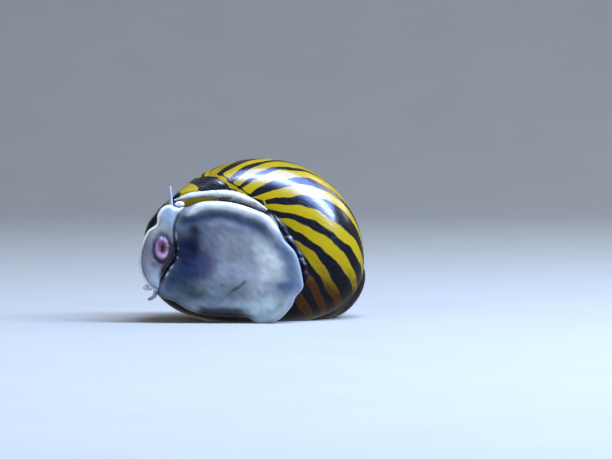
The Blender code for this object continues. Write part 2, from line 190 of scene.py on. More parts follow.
def waves(points: Array, scale: float, count: int, seed: int) -> Array:
    """Smooth random relief: a sum of sines in random directions, about -1 to 1.

    Args:
        points: Places, one per row, in millimetres.
        scale: Typical wavelength in millimetres.
        count: Number of sines.
        seed: Seed of the directions.

    Returns:
        One number per place.
    """
    draw = np.random.default_rng(seed)
    directions = draw.normal(size=(count, 3))
    directions /= np.linalg.norm(directions, axis=1)[:, None]
    rates = 2 * math.pi / (scale * draw.uniform(0.7, 1.5, count))
    phases = draw.uniform(0, 2 * math.pi, count)
    return np.sin((points @ directions.T) * rates + phases).sum(axis=1) / math.sqrt(count)


@dataclass(frozen=True)
class Placement:
    """Shift from the animal's millimetres to the model's metres, read from the operculum's box."""

    anchor_node: str = "operculum"
    anchor_centre: Triple = (3.3, 2.625, 4.6)

    def shift(self) -> Array:
        """Find the animal's origin.

        Returns:
            Its place in the model's millimetres: the middle of the node's box less that
            middle's place on the animal.
        """
        low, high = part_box(self.anchor_node)
        middle = (np.asarray(low) + np.asarray(high)) / 2 / METRES
        return middle - np.asarray(self.anchor_centre)

    def to_model(self, points: Array) -> Array:
        """Points in metres in the model's frame, kept in the model's own box."""
        low, high = (np.asarray(corner, float) for corner in CAD_BOX)
        return np.clip((points + self.shift()) * METRES, low, high)


PLACE = Placement()


@dataclass
class Surface:
    """A closed skin of rings, kept as arrays until it is made a mesh."""

    name: str
    rings: Array
    marks: dict[str, Array] = field(default_factory=dict)

    def flat_points(self) -> Array:
        """List the points.

        Returns:
            Ring points and then the middles of the two end rings, one per row.
        """
        rows = self.rings.reshape(-1, 3)
        ends = np.stack([self.rings[0].mean(axis=0), self.rings[-1].mean(axis=0)])
        return np.vstack([rows, ends])

    def flat_faces(self) -> tuple[Array, Array]:
        """Join the rings by quads, with a fan of triangles at each end.

        Returns:
            Point indices of all corners, and the number of corners of each face.
        """
        rows, columns = self.rings.shape[:2]
        row, column = np.meshgrid(np.arange(rows - 1), np.arange(columns), indexing="ij")
        following = (column + 1) % columns
        low, high = row * columns, (row + 1) * columns
        quads = np.stack([low + column, low + following, high + following, high + column], axis=-1)
        around = np.arange(columns)
        after = (around + 1) % columns
        start = rows * columns
        last = (rows - 1) * columns
        first_fan = np.stack([np.full(columns, start), after, around], axis=-1)
        last_fan = np.stack([np.full(columns, start + 1), last + around, last + after], axis=-1)
        corners = np.concatenate([quads.reshape(-1), first_fan.reshape(-1), last_fan.reshape(-1)])
        counts = np.concatenate([np.full(quads.size // 4, 4), np.full(2 * columns, 3)])
        return corners, counts


def make_piece(name: str, surfaces: list[Surface]) -> bpy.types.Object:
    """Put surfaces into one mesh object.

    Args:
        name: Name of the piece.
        surfaces: Closed surfaces, all with the same marks.

    Returns:
        The object, at the origin, with smooth faces that point outwards and one
        point attribute for each mark: a number, or a colour where it has three columns.
    """
    points, corners, counts, base = [], [], [], 0
    for surface in surfaces:
        flat = surface.flat_points()
        index, count = surface.flat_faces()
        points.append(flat)
        corners.append(index + base)
        counts.append(count)
        base += len(flat)
    place = PLACE.to_model(np.vstack(points))
    corner = np.concatenate(corners).astype(np.int32)
    count = np.concatenate(counts).astype(np.int32)
    mesh = bpy.data.meshes.new(name)
    mesh.vertices.add(len(place))
    mesh.vertices.foreach_set("co", place.ravel())
    mesh.loops.add(len(corner))
    mesh.loops.foreach_set("vertex_index", corner)
    mesh.polygons.add(len(count))
    mesh.polygons.foreach_set("loop_start", np.concatenate([[0], np.cumsum(count)[:-1]]).astype(np.int32))
    mesh.polygons.foreach_set("loop_total", count)
    for mark in surfaces[0].marks:
        values = np.concatenate([with_ends(surface.marks[mark]) for surface in surfaces])
        if values.ndim == 2:
            kept = mesh.attributes.new(mark, "FLOAT_COLOR", "POINT")
            values = np.hstack([values, np.ones((len(values), 1))])
            kept.data.foreach_set("color", values.astype(np.float32).ravel())
        else:
            kept = mesh.attributes.new(mark, "FLOAT", "POINT")
            kept.data.foreach_set("value", values.astype(np.float32))
    mesh.update(calc_edges=True)
    mesh.validate()
    mesh.shade_smooth()
    made = bpy.data.objects.new(name, mesh)
    bpy.context.scene.collection.objects.link(made)
    return made


def with_ends(values: Array) -> Array:
    """Marks of a surface's ring points, with those of its two end middles added."""
    ends = np.stack([values[0].mean(axis=0), values[-1].mean(axis=0)])
    return np.concatenate([values.reshape(-1, *values.shape[2:]), ends])


def tube_rings(middle: Array, radius: Array, sides: int, flatten: float = 1.0) -> Array:
    """Rings of a tube: each is the middle plus radius times a circle square to the line.

    Args:
        middle: Line of the tube, one point per row.
        radius: Radius at each point.
        sides: Points in each ring.
        flatten: Share of the radius left along y.

    Returns:
        Array of rings by sides by three.
    """
    ahead = unit(np.gradient(middle, axis=0))
    straight_back = np.abs(ahead[:, 1]).max() >= 0.95
    guide = np.array((0.0, 0.0, 1.0) if straight_back else (0.0, 1.0, 0.0))
    first = unit(np.cross(ahead, guide))
    second = np.cross(ahead, first)
    turn = np.linspace(0, 2 * math.pi, sides, endpoint=False)
    across = np.cos(turn)[None, :, None] * first[:, None, :]
    along = flatten * np.sin(turn)[None, :, None] * second[:, None, :]
    return middle[:, None, :] + radius[:, None, None] * (across + along)


# Materials


class Nodes:
    """Short names for building a material's node tree."""

    def __init__(self, name: str) -> None:
        """Start a material with a Principled shader.

        Args:
            name: Name of the material.
        """
        self.material = bpy.data.materials.new(name)
        self.material.use_nodes = True
        self.tree = self.material.node_tree
        self.shader = self.tree.nodes["Principled BSDF"]

    def add(self, kind: str, **settings: object) -> bpy.types.Node:
        """Add a node.

        Args:
            kind: Blender's name of the kind of node.
            settings: Properties to set on it.

        Returns:
            The node.
        """
        node = self.tree.nodes.new(kind)
        for key, value in settings.items():
            setattr(node, key, value)
        return node

    def link(self, source: Socket, target: Socket) -> None:
        """Join two sockets."""
        self.tree.links.new(source, target)

    def put(self, socket: Socket, value: object) -> None:
        """Give a socket its value.

        Args:
            socket: Input to fill.
            value: Another socket to link, or a constant: a number, a colour or a vector.
        """
        if isinstance(value, bpy.types.NodeSocket):
            self.link(value, socket)
        elif isinstance(value, tuple) and len(value) == 3 and socket.type == "RGBA":
            socket.default_value = (*value, 1.0)
        else:
            socket.default_value = value

    def mark(self, name: str, colour: bool = False) -> Socket:
        """Read a point attribute, as a number or as a colour."""
        node = self.add("ShaderNodeAttribute", attribute_name=name)
        return node.outputs["Color" if colour else "Fac"]

    def stretch(self, vector: Socket, scale: Triple) -> Socket:
        """Multiply a vector by a scale.

        Args:
            vector: Vector to stretch.
            scale: Factor along each axis.

        Returns:
            The stretched vector.
        """
        mapping = self.add("ShaderNodeMapping")
        mapping.inputs["Scale"].default_value = scale
        self.link(vector, mapping.inputs["Vector"])
        return mapping.outputs["Vector"]

    def place(self, scale: Triple = (1.0, 1.0, 1.0)) -> Socket:
        """Object coordinates, stretched by a scale."""
        return self.stretch(self.add("ShaderNodeTexCoord").outputs["Object"], scale)

    def noise(self, vector: Socket, scale: float, detail: float = 3.0) -> Socket:
        """Noise over a vector.

        Args:
            vector: Place to read the noise at.
            scale: Number of bumps in one unit of the vector.
            detail: How many finer layers are added.

        Returns:
            A number from 0 to 1, mostly near 0.5.
        """
        node = self.add("ShaderNodeTexNoise")
        node.inputs["Scale"].default_value = scale
        node.inputs["Detail"].default_value = detail
        self.link(vector, node.inputs["Vector"])
        return node.outputs["Fac"]

    def math(self, work: str, first: object, second: object) -> Socket:
        """Do one step of arithmetic.

        Args:
            work: Blender's name of the operation.
            first: Socket or constant.
            second: Socket or constant.

        Returns:
            The result.
        """
        node = self.add("ShaderNodeMath", operation=work)
        self.put(node.inputs[0], first)
        self.put(node.inputs[1], second)
        return node.outputs[0]

    def swing(self, noise: Socket, reach: float) -> Socket:
        """Noise made to run about zero: (noise - 0.5) * reach."""
        return self.math("MULTIPLY", self.math("SUBTRACT", noise, 0.5), reach)

    def line(self, value: Socket, slope: float, start: float) -> Socket:
        """Straight line: value * slope + start."""
        return self.math("ADD", self.math("MULTIPLY", value, slope), start)

    def ease(self, value: Socket, low: float, high: float, top: float = 1.0) -> Socket:
        """Smooth step.

        Args:
            value: Number to ease.
            low: Value that gives 0.
            high: Value that gives the top.
            top: Highest result.

        Returns:
            The eased number.
        """
        node = self.add("ShaderNodeMapRange", interpolation_type="SMOOTHSTEP")
        node.inputs["From Min"].default_value = low
        node.inputs["From Max"].default_value = high
        node.inputs["To Max"].default_value = top
        self.link(value, node.inputs["Value"])
        return node.outputs["Result"]

    def mix(self, share: object, first: object, second: object, blend: str = "MIX") -> Socket:
        """Blend two colours.

        Args:
            share: How much of the second colour shows.
            first: Socket or constant.
            second: Socket or constant.
            blend: Blender's name of the way they blend.

        Returns:
            The blended colour.
        """
        node = self.add("ShaderNodeMix", data_type="RGBA", blend_type=blend)
        self.put(node.inputs[0], share)
        self.put(node.inputs[6], first)
        self.put(node.inputs[7], second)
        return node.outputs[2]

    def surface(self, colour: Socket, roughness: Socket | None = None) -> None:
        """Give the shader its colour, and its roughness where that isn't a constant."""
        self.link(colour, self.shader.inputs["Base Color"])
        if roughness is not None:
            self.link(roughness, self.shader.inputs["Roughness"])

    def bump(self, height: Socket, distance: float, strength: float = 0.5) -> None:
        """Raise the shader's surface.

        Args:
            height: Height from 0 to 1.
            distance: Metres that a height of 1 stands for.
            strength: How much of the relief shows.
        """
        node = self.add("ShaderNodeBump")
        node.inputs["Distance"].default_value = distance
        node.inputs["Strength"].default_value = strength
        self.link(height, node.inputs["Height"])
        self.link(node.outputs["Normal"], self.shader.inputs["Normal"])

    def gloss(self, **values: float) -> None:
        """Set constants on the shader's own sockets."""
        for key, value in values.items():
            self.shader.inputs[key.replace("_", " ")].default_value = value


@dataclass(frozen=True)
class ShellFinish:
    """Glossy striped shell, with fine growth lines and a worn tip."""

    yellow: Triple = (0.37, 0.265, 0.002)
    ochre: Triple = (0.060, 0.018, 0.0005)
    black: Triple = (0.002, 0.0015, 0.003)
    slate: Triple = (0.004, 0.010, 0.036)
    pale: Triple = (0.34, 0.38, 0.42)
    worn: Triple = (0.36, 0.22, 0.16)
    white: Triple = (0.74, 0.76, 0.74)
    edge_width: float = 0.07
    edge_wander: float = 0.22
    edge_fray: float = 0.10
    tone_drift: float = 0.5
    slate_most: float = 0.8
    growth_stretch: Triple = (1.0, 1.0, 0.12)
    relief: float = 0.00004

    def material(self) -> bpy.types.Material:
        """Build the node material from the marks band, tone, lines, worn, deck and meridian.

        The fine and the coarse noise are stretched from pole to pole, as growth lines are. They
        shift the stripes' edges, drift their tone and roughen the surface.

        Returns:
            The material.
        """
        nodes = Nodes("shell_striped")
        meridian = nodes.mark("meridian", colour=True)
        wander = nodes.noise(nodes.place(), 900.0, 2.0)
        growth = nodes.stretch(meridian, self.growth_stretch)
        fine = nodes.noise(growth, 46.0, 4.0)
        coarse = nodes.noise(growth, 13.0, 2.0)
        shifted = nodes.math("ADD", nodes.mark("band"), nodes.swing(wander, self.edge_wander))
        shifted = nodes.math("ADD", shifted, nodes.swing(fine, self.edge_fray))
        stripe = nodes.ease(shifted, 0.5 - self.edge_width, 0.5 + self.edge_width)
        tone = nodes.math("ADD", nodes.mark("tone"), nodes.swing(coarse, self.tone_drift))
        yellow = nodes.mix(nodes.ease(tone, 0.0, 1.0), self.yellow, self.ochre)
        dark = nodes.mix(nodes.ease(fine, 0.42, 0.75, self.slate_most), self.black, self.slate)
        body = nodes.mix(stripe, dark, yellow)
        # The lines mark also lays a pale painted highlight along the lip's rim.
        lines = nodes.math("MULTIPLY", nodes.mark("lines"), nodes.ease(wander, 0.3, 0.6))
        body = nodes.mix(lines, body, self.pale)
        worn = nodes.math("MULTIPLY", nodes.mark("worn"), nodes.ease(wander, 0.25, 0.65))
        body = nodes.mix(worn, body, self.worn)
        body = nodes.mix(nodes.mark("deck"), body, self.white)
        dull = nodes.math("MULTIPLY", nodes.mark("worn"), 0.3)
        nodes.surface(body, nodes.math("ADD", nodes.line(fine, 0.32, 0.04), dull))
        nodes.gloss(IOR=1.46, Specular_IOR_Level=0.42, Coat_Weight=0.24, Coat_Roughness=0.10, Coat_IOR=1.5)
        nodes.bump(nodes.math("ADD", fine, nodes.math("MULTIPLY", coarse, 0.8)), self.relief)
        return nodes.material


@dataclass(frozen=True)
class SkinFinish:
    """Wet flesh: the mark tint gives its markings, with fine mottling, pale specks of painted highlight,
    light inside and a thin wet coat.
    """

    scatter: float = 0.22
    scatter_reach: Triple = (1.0, 0.7, 0.9)
    mottle: Triple = (0.72, 0.75, 0.80)
    clear: Triple = (1.0, 1.0, 1.0)
    wet_glint: Triple = (0.70, 0.76, 0.84)
    relief: float = 0.00007

    def material(self) -> bpy.types.Material:
        """Build the node material from the marks tint and fleck.

        Returns:
            The material.
        """
        nodes = Nodes("flesh_wet")
        place = nodes.place()
        cloud = nodes.noise(place, 700.0, 4.0)
        grain = nodes.noise(place, 4200.0, 2.0)
        mottle = nodes.mix(nodes.ease(cloud, 0.3, 0.7), self.mottle, self.clear)
        tint = nodes.mix(1.0, nodes.mark("tint", colour=True), mottle, "MULTIPLY")
        # Pale specks of painted highlight where the mark allows.
        glint_specks = nodes.math("MULTIPLY", nodes.mark("wet_glint"), nodes.ease(grain, 0.61, 0.70))
        nodes.surface(nodes.mix(glint_specks, tint, self.wet_glint), nodes.line(cloud, 0.25, 0.26))
        nodes.gloss(IOR=1.38, Specular_IOR_Level=0.27, Coat_Weight=0.09, Coat_Roughness=0.14)
        nodes.gloss(Subsurface_Weight=self.scatter, Subsurface_Scale=0.0005)
        nodes.shader.inputs["Subsurface Radius"].default_value = self.scatter_reach
        nodes.bump(nodes.math("ADD", cloud, nodes.math("MULTIPLY", grain, 0.12)), self.relief)
        return nodes.material


@dataclass(frozen=True)
class GlazeFinish:
    """Smooth porcelain-like deposit or horn, coloured by the mark tint, with streaks along it."""

    name: str
    roughness: float
    streak: float
    clear: float = 0.0
    streak_shade: Triple = (0.55, 0.56, 0.60)
    plain: Triple = (1.0, 1.0, 1.0)
    streak_stretch: Triple = (1.0, 3.0, 4.0)
    relief: float = 0.00005

    def material(self) -> bpy.types.Material:
        """Build the node material from the mark tint.

        Returns:
            The material.
        """
        nodes = Nodes(self.name)
        cloud = nodes.noise(nodes.place(), 1300.0, 3.0)
        streak = nodes.noise(nodes.place(self.streak_stretch), 900.0, 3.0)
        shade = nodes.mix(nodes.ease(streak, 0.35, 0.65), self.streak_shade, self.plain)
        tint = nodes.mix(self.streak, nodes.mark("tint", colour=True), shade, "MULTIPLY")
        nodes.surface(tint, nodes.line(cloud, 0.15, self.roughness))
        nodes.gloss(IOR=1.5, Coat_Weight=0.5, Coat_Roughness=0.1)
        nodes.gloss(Subsurface_Weight=self.clear, Subsurface_Scale=0.0004)
        nodes.bump(nodes.math("ADD", streak, cloud), self.relief)
        return nodes.material


@dataclass(frozen=True)
class Patch:
    """One soft oval marking on the flesh, seen along y, with the share of its colour's blue that is left."""

    centre: Pair
    half_size: Pair
    colour: Triple
    strength: float = 1.0
    turn: float = 0.0
    softness: float = 0.6
    blue_share: float = 1.0

    def shade(self) -> Triple:
        """Colour of the marking, with its share of blue."""
        return (*self.colour[:2], self.colour[2] * self.blue_share)

    def share(self, x: Array, z: Array) -> Array:
        """How much of the marking shows: full inside, easing out over the softness share of its size.

        Args:
            x: Places along the animal.
            z: Heights of the places.

        Returns:
            A share from 0 to the marking's strength for each place.
        """
        angle = math.radians(self.turn)
        across = (x - self.centre[0]) * math.cos(angle) + (z - self.centre[1]) * math.sin(angle)
        along = (z - self.centre[1]) * math.cos(angle) - (x - self.centre[0]) * math.sin(angle)
        reach = np.hypot(across / self.half_size[0], along / self.half_size[1])
        return self.strength * (1 - smooth(reach, 1 - self.softness, 1 + self.softness))


def paint(base: Array, x: Array, z: Array, patches: list[Patch]) -> Array:
    """Lay markings over a base colour, one after another."""
    return lay_all(base, [(patch.share(x, z), patch.shade()) for patch in patches])


# Shell


# Degrees from the tip at which a stripe's course is worked out, and the weights that round it
COURSE_GRID = np.linspace(-15.0, 195.0, 421)
COURSE_BELL = np.exp(-((np.arange(-18, 19) / 7.0) ** 2))


@dataclass(frozen=True)
class Stripe:
    """One yellow stripe.

    Its course is a row of (degrees from the tip, meridian, half its width), nearest the tip
    first, and its shade runs from 0, yellow, to 1, ochre.
    """

    shade: float
    course: tuple[Triple, ...]

    def nearness(self, meridian: Array, polar: Array) -> Array:
        """How near the stripe's middle each place is, on the course rounded by a bell-shaped average.

        Args:
            meridian: Meridians of the places in degrees.
            polar: Their distances from the tip's pole in degrees.

        Returns:
            1 at the middle, 0.5 at the edge and 0 a whole stripe away.
        """
        knots = np.asarray(self.course)
        bell = COURSE_BELL / COURSE_BELL.sum()
        middle, half = (
            np.convolve(np.interp(COURSE_GRID, knots[:, 0], knots[:, part]), bell, "same") for part in (1, 2)
        )
        middle, half = np.interp(polar, COURSE_GRID, middle), np.interp(polar, COURSE_GRID, half)
        gap = np.abs((meridian - middle + 180.0) % 360.0 - 180.0)
        return np.clip(1 - gap / (2 * half), 0, 1)


# The stripes that the photograph shows, in order round the shell
STRIPES = [
    Stripe(0.40, (
        (20, -22, 4), (50, -37, 4.4), (90, -46, 4.6), (130, -43, 4), (147, -40, 4), (154, -43, 6),
        (160, -47, 8.5), (166, -48, 10),
    )),
    Stripe(0.15, (
        (20, -4, 4), (60, -20, 4), (100, -26, 4.2), (130, -21, 4), (147, -21.5, 3.7), (154, -22, 3.6),
        (160, -22, 6.6), (165, -21, 9.5),
    )),
    Stripe(0.25, (
        (20, 12, 4), (60, -7, 4), (100, -8, 4.2), (120, -9, 4.2), (140, -10, 4), (147, -7.5, 4.2),
        (154, -4.4, 5), (160, 1, 4.8), (165, 3.4, 6.5),
    )),
    Stripe(0.05, (
        (20, 28, 4), (40, 17, 4), (60, 8, 4), (88, 3, 4), (104, 1.4, 3.7), (120, 2.7, 3.4), (130, 3.3, 4.7),
        (140, 3.9, 5), (147, 8.2, 4.6), (154, 12, 5.4), (161, 19.5, 6.8),
    )),
    Stripe(0.0, (
        (20, 44, 4), (40, 31, 4), (60, 21.5, 3.2), (70, 18.6, 3.4), (80, 16, 3.5), (90, 15.8, 3.6),
        (100, 16.8, 4.4), (110, 17, 4.5), (120, 18, 4.7), (130, 20.3, 4.8), (140, 23.7, 4.1),
        (147, 26, 4.3), (152, 28, 3.6), (156, 28, 0.3), (170, 28, 0.3),
    )),
    Stripe(0.05, (
        (20, 62, 4.4), (40, 48, 4.8), (60, 41.7, 5.1), (70, 40.8, 5), (80, 40, 4.7), (90, 39, 4.7),
        (100, 37.6, 4.8), (110, 36.7, 4.7), (120, 36.4, 4.6), (130, 36.9, 4.1), (140, 38.4, 3.9),
        (147, 39.5, 3.2), (150, 40, 2.8), (153, 40, 0.3),
    )),
    Stripe(0.12, (
        (15, 90, 4.8), (30, 80, 4.8), (50, 67, 5), (60, 62.5, 5.4), (70, 59.6, 5.8), (80, 57.6, 6),
        (90, 56.8, 5.6), (100, 55.5, 4.8), (110, 53.3, 4.5), (120, 51.6, 4.8), (130, 51.6, 4), (139, 52, 1),
    )),
    Stripe(0.25, (
        (15, 122, 5), (30, 111, 5), (40, 99, 5), (60, 89, 5.2), (80, 79, 5.4), (90, 75.4, 5),
        (100, 72.4, 4), (108, 70.4, 2.8), (116, 69, 1),
    )),
    Stripe(0.50, (
        (15, 146, 4.2), (30, 131, 4.2), (53, 110, 4.2), (67, 102, 4.2), (75, 97, 4.2), (84, 95, 4.2),
        (110, 88, 4),
    )),
    Stripe(0.75, ((15, 166, 4), (30, 149, 4), (53, 127, 4), (67, 117, 4), (90, 110, 4), (120, 106, 4))),
]


@dataclass(frozen=True)
class HiddenStripes:
    """Stripes on the far side: evenly spaced with a seeded jitter, and turning towards the tip."""

    first: float = 133.0
    last: float = 300.0
    step: float = 16.6
    jitter: float = 2.2
    half_widths: Pair = (3.4, 5.0)
    shades: Pair = (0.0, 0.35)
    most_turn: float = 24.0
    turn_loss: float = 10.0
    turn_reach: float = 45.0
    turn_power: float = 1.1
    ends: Pair = (10.0, 95.0)
    knots: int = 12

    def build(self) -> list[Stripe]:
        """Lay out the stripes.

        A stripe turns by full * ((95 - polar) / 45)^1.1 on its way to the tip, and full
        shrinks along the round so that no two cross.

        Returns:
            The stripes, in order round the shell.
        """
        draw = np.random.default_rng(SEED)
        made = []
        polar = np.linspace(*self.ends, self.knots)
        for place in np.arange(self.first, self.last, self.step):
            full = self.most_turn - self.turn_loss * (place - self.first) / (self.last - self.first)
            jitter = draw.uniform(-self.jitter, self.jitter)
            turn = place + jitter + full * ((self.ends[1] - polar) / self.turn_reach) ** self.turn_power
            half = np.full(len(polar), draw.uniform(*self.half_widths))
            course = tuple(zip(polar.tolist(), turn.tolist(), half.tolist()))
            made.append(Stripe(draw.uniform(*self.shades), course))
        return made


@dataclass(frozen=True)
class Coil:
    """Coiled tip: a low pointed dome that carries a tube, whose reach and radius shrink at each turn."""

    point: Triple = (9.5, 13.35, 3.2)
    axis: Triple = (0.66, 0.52, -0.54)
    dome_radius: float = 4.9
    dome_height: float = 2.75
    dome_base: float = -1.3
    roundness: float = 1.75
    turns: float = 2.3
    shrink: float = 2.3
    radius: float = 2.9
    tube_radius: float = 1.55
    tube_seat: float = 0.72
    swell_turns: float = 0.45
    blend: float = 0.12
    deepest: float = -4.0
    nowhere: float = -9.0

    def directions(self) -> tuple[Array, Array, Array]:
        """Directions that the coil is measured in.

        Returns:
            Its axis and two directions across it.
        """
        axis = unit(np.asarray(self.axis))
        side = unit(np.cross(axis, (0.0, 0.0, 1.0)))
        return axis, side, np.cross(axis, side)

    def dome(self, away: Array) -> Array:
        """Height of the pointed dome: base + height (1 - share^n)^(1/n), n its roundness."""
        share = np.clip(away / self.dome_radius, 0.0, 1.0) ** self.roundness
        return self.dome_base + self.dome_height * (1 - share) ** (1 / self.roundness)

    def height(self, away: Array, turn: Array) -> tuple[Array, Array]:
        """Height of the tip above its seat.

        It is the highest of the dome and the tube's top at every pass of the coil through
        this direction.

        Args:
            away: Distance from the coil's axis.
            turn: Direction round the axis in turns, from 0 to 1.

        Returns:
            The height, and the share of the tube's width from its middle, 1 at the suture.
        """
        best = np.where(away < self.dome_radius, self.dome(away), self.nowhere)
        seam = np.ones_like(best)
        for lap in range(-1, 3):
            turns = turn + lap
            shrink = self.shrink ** (-turns)
            swell = np.clip((turns + self.swell_turns) / self.swell_turns, 0.0, 1.0)
            tube = self.tube_radius * shrink * (0.25 + 0.75 * np.sin(swell * math.pi / 2))
            reach = self.radius * np.minimum(shrink, 1.0 + 0.05 * (shrink - 1.0))
            inside = (turns > -self.swell_turns) & (turns < self.turns)
            off = (away - reach) / tube
            bulge = np.sqrt(np.clip(1 - off**2, 0, 1))
            height = self.dome(reach) - self.tube_seat * tube + tube * bulge
            better = inside & (np.abs(off) < 1) & (height > best)
            best = np.where(better, height, best)
            seam = np.where(better, np.abs(off), seam)
        return best, seam

    def raise_on(self, points: Array) -> tuple[Array, Array, Array]:
        """Lift a surface to the tip along the coil's axis, with a rounded step where they meet.

        Args:
            points: Surface points.

        Returns:
            The points, the distance from the coil's axis, and the suture share.
        """
        axis, side, across = self.directions()
        local = points - np.asarray(self.point)
        height = local @ axis
        flat = local - height[..., None] * axis
        away = np.linalg.norm(flat, axis=-1)
        turn = np.arctan2(flat @ across, flat @ side) / (2 * math.pi) % 1.0
        target, seam = self.height(away, turn)
        near = (height > self.deepest) & (away < self.dome_radius + self.tube_radius)
        gap = np.clip(0.5 + 0.5 * (target - height) / self.blend, 0.0, 1.0)
        lifted = height + (target - height) * gap + self.blend * gap * (1 - gap)
        lifted = np.where(near & (target > self.nowhere + 1), lifted, height)
        moved = points + (lifted - height)[..., None] * axis
        far_side = height <= self.deepest - 2
        return moved, np.where(far_side, 99.0, away), np.where(near, seam, 1.0)


@dataclass
class Shell:
    """Body whorl and coiled tip as one surface, with the stripes as marks."""

    centre: Pair = (0.98, 6.98)
    right: float = 11.9
    left: float = 13.25
    up: float = 11.85
    down: float = 7.55
    roundness_up: float = 2.0
    roundness_down: float = 2.45
    dome_roundness: float = 2.15
    widest_depth: float = 7.6
    widest_swing: float = 2.4
    widest_angle: float = math.radians(15.0)
    dome_lean: Pair = (-1.2, 1.0)
    top_depth: float = 17.6
    mouth_depth: float = 3.3
    mouth_sunk: float = 0.25
    mouth_outline: tuple[Pair, ...] = (
        (-12.2, 7.9), (-12.45, 10.6), (-11.3, 12.6), (-8.5, 14.8), (-4.6, 15.1), (-0.6, 14.5), (2.2, 12.6),
        (4.2, 9.9), (5.2, 7.2), (5.3, 4.4), (4.3, 1.9), (1.0, 0.35), (-3.6, 0.45),
        (-7.6, 1.7), (-10.8, 4.5),
    )
    lip_flare: float = 0.75
    lip_flare_angle: float = math.radians(162.0)
    lip_flare_spread: float = math.radians(14.0)
    outer_lip_angle: float = math.radians(205.0)
    coil: Coil = Coil()
    apex: Triple = (10.7, 14.2, 2.6)
    base_pole: Triple = (-4.2, 3.3, 13.9)
    around: int = 480
    deck_rows: int = 30
    deck_outer: float = 0.985
    deck_spread: float = 0.735
    deck_crowding: float = 1.5
    belly_rows: int = 52
    belly_crowding: float = 1.25
    dome_rows: int = 122
    crowding: float = 0.28
    crowded_angle: float = math.radians(-30.0)
    newest_meridians: Pair = (-128.0, 33.0)
    newest_step: float = 0.05
    growth_meridians: tuple[float, ...] = (-85.0, -60.0, -20.0, 0.0, 18.0, 30.0)
    growth_starts: tuple[float, ...] = (163.5, 165.5, 168.0, 168.0, 164.5, 160.0)
    core_depth: float = 9.5
    lip_depth: Pair = (6.5, 7.5)

    def ring(self, angles: Array, radius: Array, depth: Array, lean: float) -> Array:
        """Ring about the centre line, which leans with the square of the height share.

        Args:
            angles: Directions of the points in radians.
            radius: Distance of each point from the centre line.
            depth: Distance of each point from the plane of the sole.
            lean: Share of the dome's height.

        Returns:
            The ring's points, one per row.
        """
        x = self.centre[0] + self.dome_lean[0] * lean**2 + radius * np.cos(angles)
        z = self.centre[1] + self.dome_lean[1] * lean**2 + radius * np.sin(angles)
        return np.stack([x, depth * np.ones_like(x), z], axis=1)

    def deck_shares(self) -> Array:
        """Shares of the mouth's reach for the rings of its face, crowded towards its edge."""
        return self.deck_outer - self.deck_spread * np.linspace(1, 0, self.deck_rows) ** self.deck_crowding

    def widest_reach(self, angles: Array) -> Array:
        """Reach of the widest line: an oval with its own half length and roundness on each side.

        Args:
            angles: Directions in radians.

        Returns:
            (|cos / across|^n + |sin / along|^n)^(-1/n) for each direction, n the roundness.
        """
        across = np.where(np.cos(angles) >= 0, self.right, self.left)
        along = np.where(np.sin(angles) >= 0, self.up, self.down)
        power = np.where(np.sin(angles) >= 0, self.roundness_up, self.roundness_down)
        reach = np.abs(np.cos(angles) / across) ** power + np.abs(np.sin(angles) / along) ** power
        return reach ** (-1 / power)

    def mouth_reach(self, angles: Array, widest: Array) -> Array:
        """Reach of the mouth's edge, which stays inside the widest line but for the flared lip.

        Args:
            angles: Directions in radians.
            widest: Reach of the widest line.

        Returns:
            One reach per direction.
        """
        outline = spline(list(self.mouth_outline), 1440, True)
        away = (angles - self.lip_flare_angle + math.pi) % (2 * math.pi) - math.pi
        flare = self.lip_flare * np.exp(-((away / self.lip_flare_spread) ** 2))
        return np.minimum(reach_of(outline, self.centre, angles), widest + flare)

    def rings(self) -> Array:
        """Rings from the middle of the mouth's plane over the widest line to the back.

        The deck rises from its middle to the mouth's edge, the belly swells by a quarter sine,
        and the dome falls in by the rounded power of a cosine. The directions crowd towards
        the coiled tip by a sine of their distance from it.

        Returns:
            Array of rings by points by three.
        """
        angles = np.linspace(0, 2 * math.pi, self.around, endpoint=False)
        angles = angles - self.crowding * np.sin(angles - self.crowded_angle)
        widest = self.widest_reach(angles)
        mouth = self.mouth_reach(angles, widest)
        widest_depth = self.widest_depth + self.widest_swing * np.cos(angles - self.widest_angle)
        rows = []
        for share in self.deck_shares():
            sunk = self.mouth_sunk * (1 - smooth(np.full_like(angles, share), 0.5, 1.0))
            rows.append(self.ring(angles, mouth * share, self.mouth_depth + sunk, 0.0))
        for share in np.linspace(0.0, 1.0, self.belly_rows) ** self.belly_crowding:
            turn = share * math.pi / 2
            radius = mouth + (widest - mouth) * math.sin(turn)
            depth = self.mouth_depth + (widest_depth - self.mouth_depth) * (1 - math.cos(turn))
            rows.append(self.ring(angles, radius, depth, 0.0))
        for share in np.linspace(0, 1, self.dome_rows + 1)[1:-1]:
            turn = share * math.pi / 2
            radius = widest * math.cos(turn) ** (2 / self.dome_roundness)
            lift = math.sin(turn) ** (2 / self.dome_roundness)
            depth = widest_depth + (self.top_depth - widest_depth) * lift
            rows.append(self.ring(angles, radius, depth, lift))
        return np.stack(rows)

    def globe(self, points: Array) -> tuple[Array, Array]:
        """Angles on the shell seen as a globe with the tip and the base as its poles.

        Args:
            points: Surface points.

        Returns:
            The meridian in degrees, and the distance from the tip's pole in degrees.
        """
        tip, base = np.asarray(self.apex), np.asarray(self.base_pole)
        axis = unit(tip - base)
        first = unit(np.cross(axis, (0.0, 1.0, 0.0)))
        second = np.cross(axis, first)
        out = points - (tip + base) / 2
        length = np.linalg.norm(out, axis=-1)
        polar = np.degrees(np.arccos(np.clip(out @ axis / length, -1, 1)))
        return np.degrees(np.arctan2(out @ second, out @ first)), polar

    def growth_line(self, meridian: Array) -> Array:
        """Degrees from the tip at which the newest growth starts, in straight lines between its places."""
        return np.interp(meridian, self.growth_meridians, self.growth_starts)

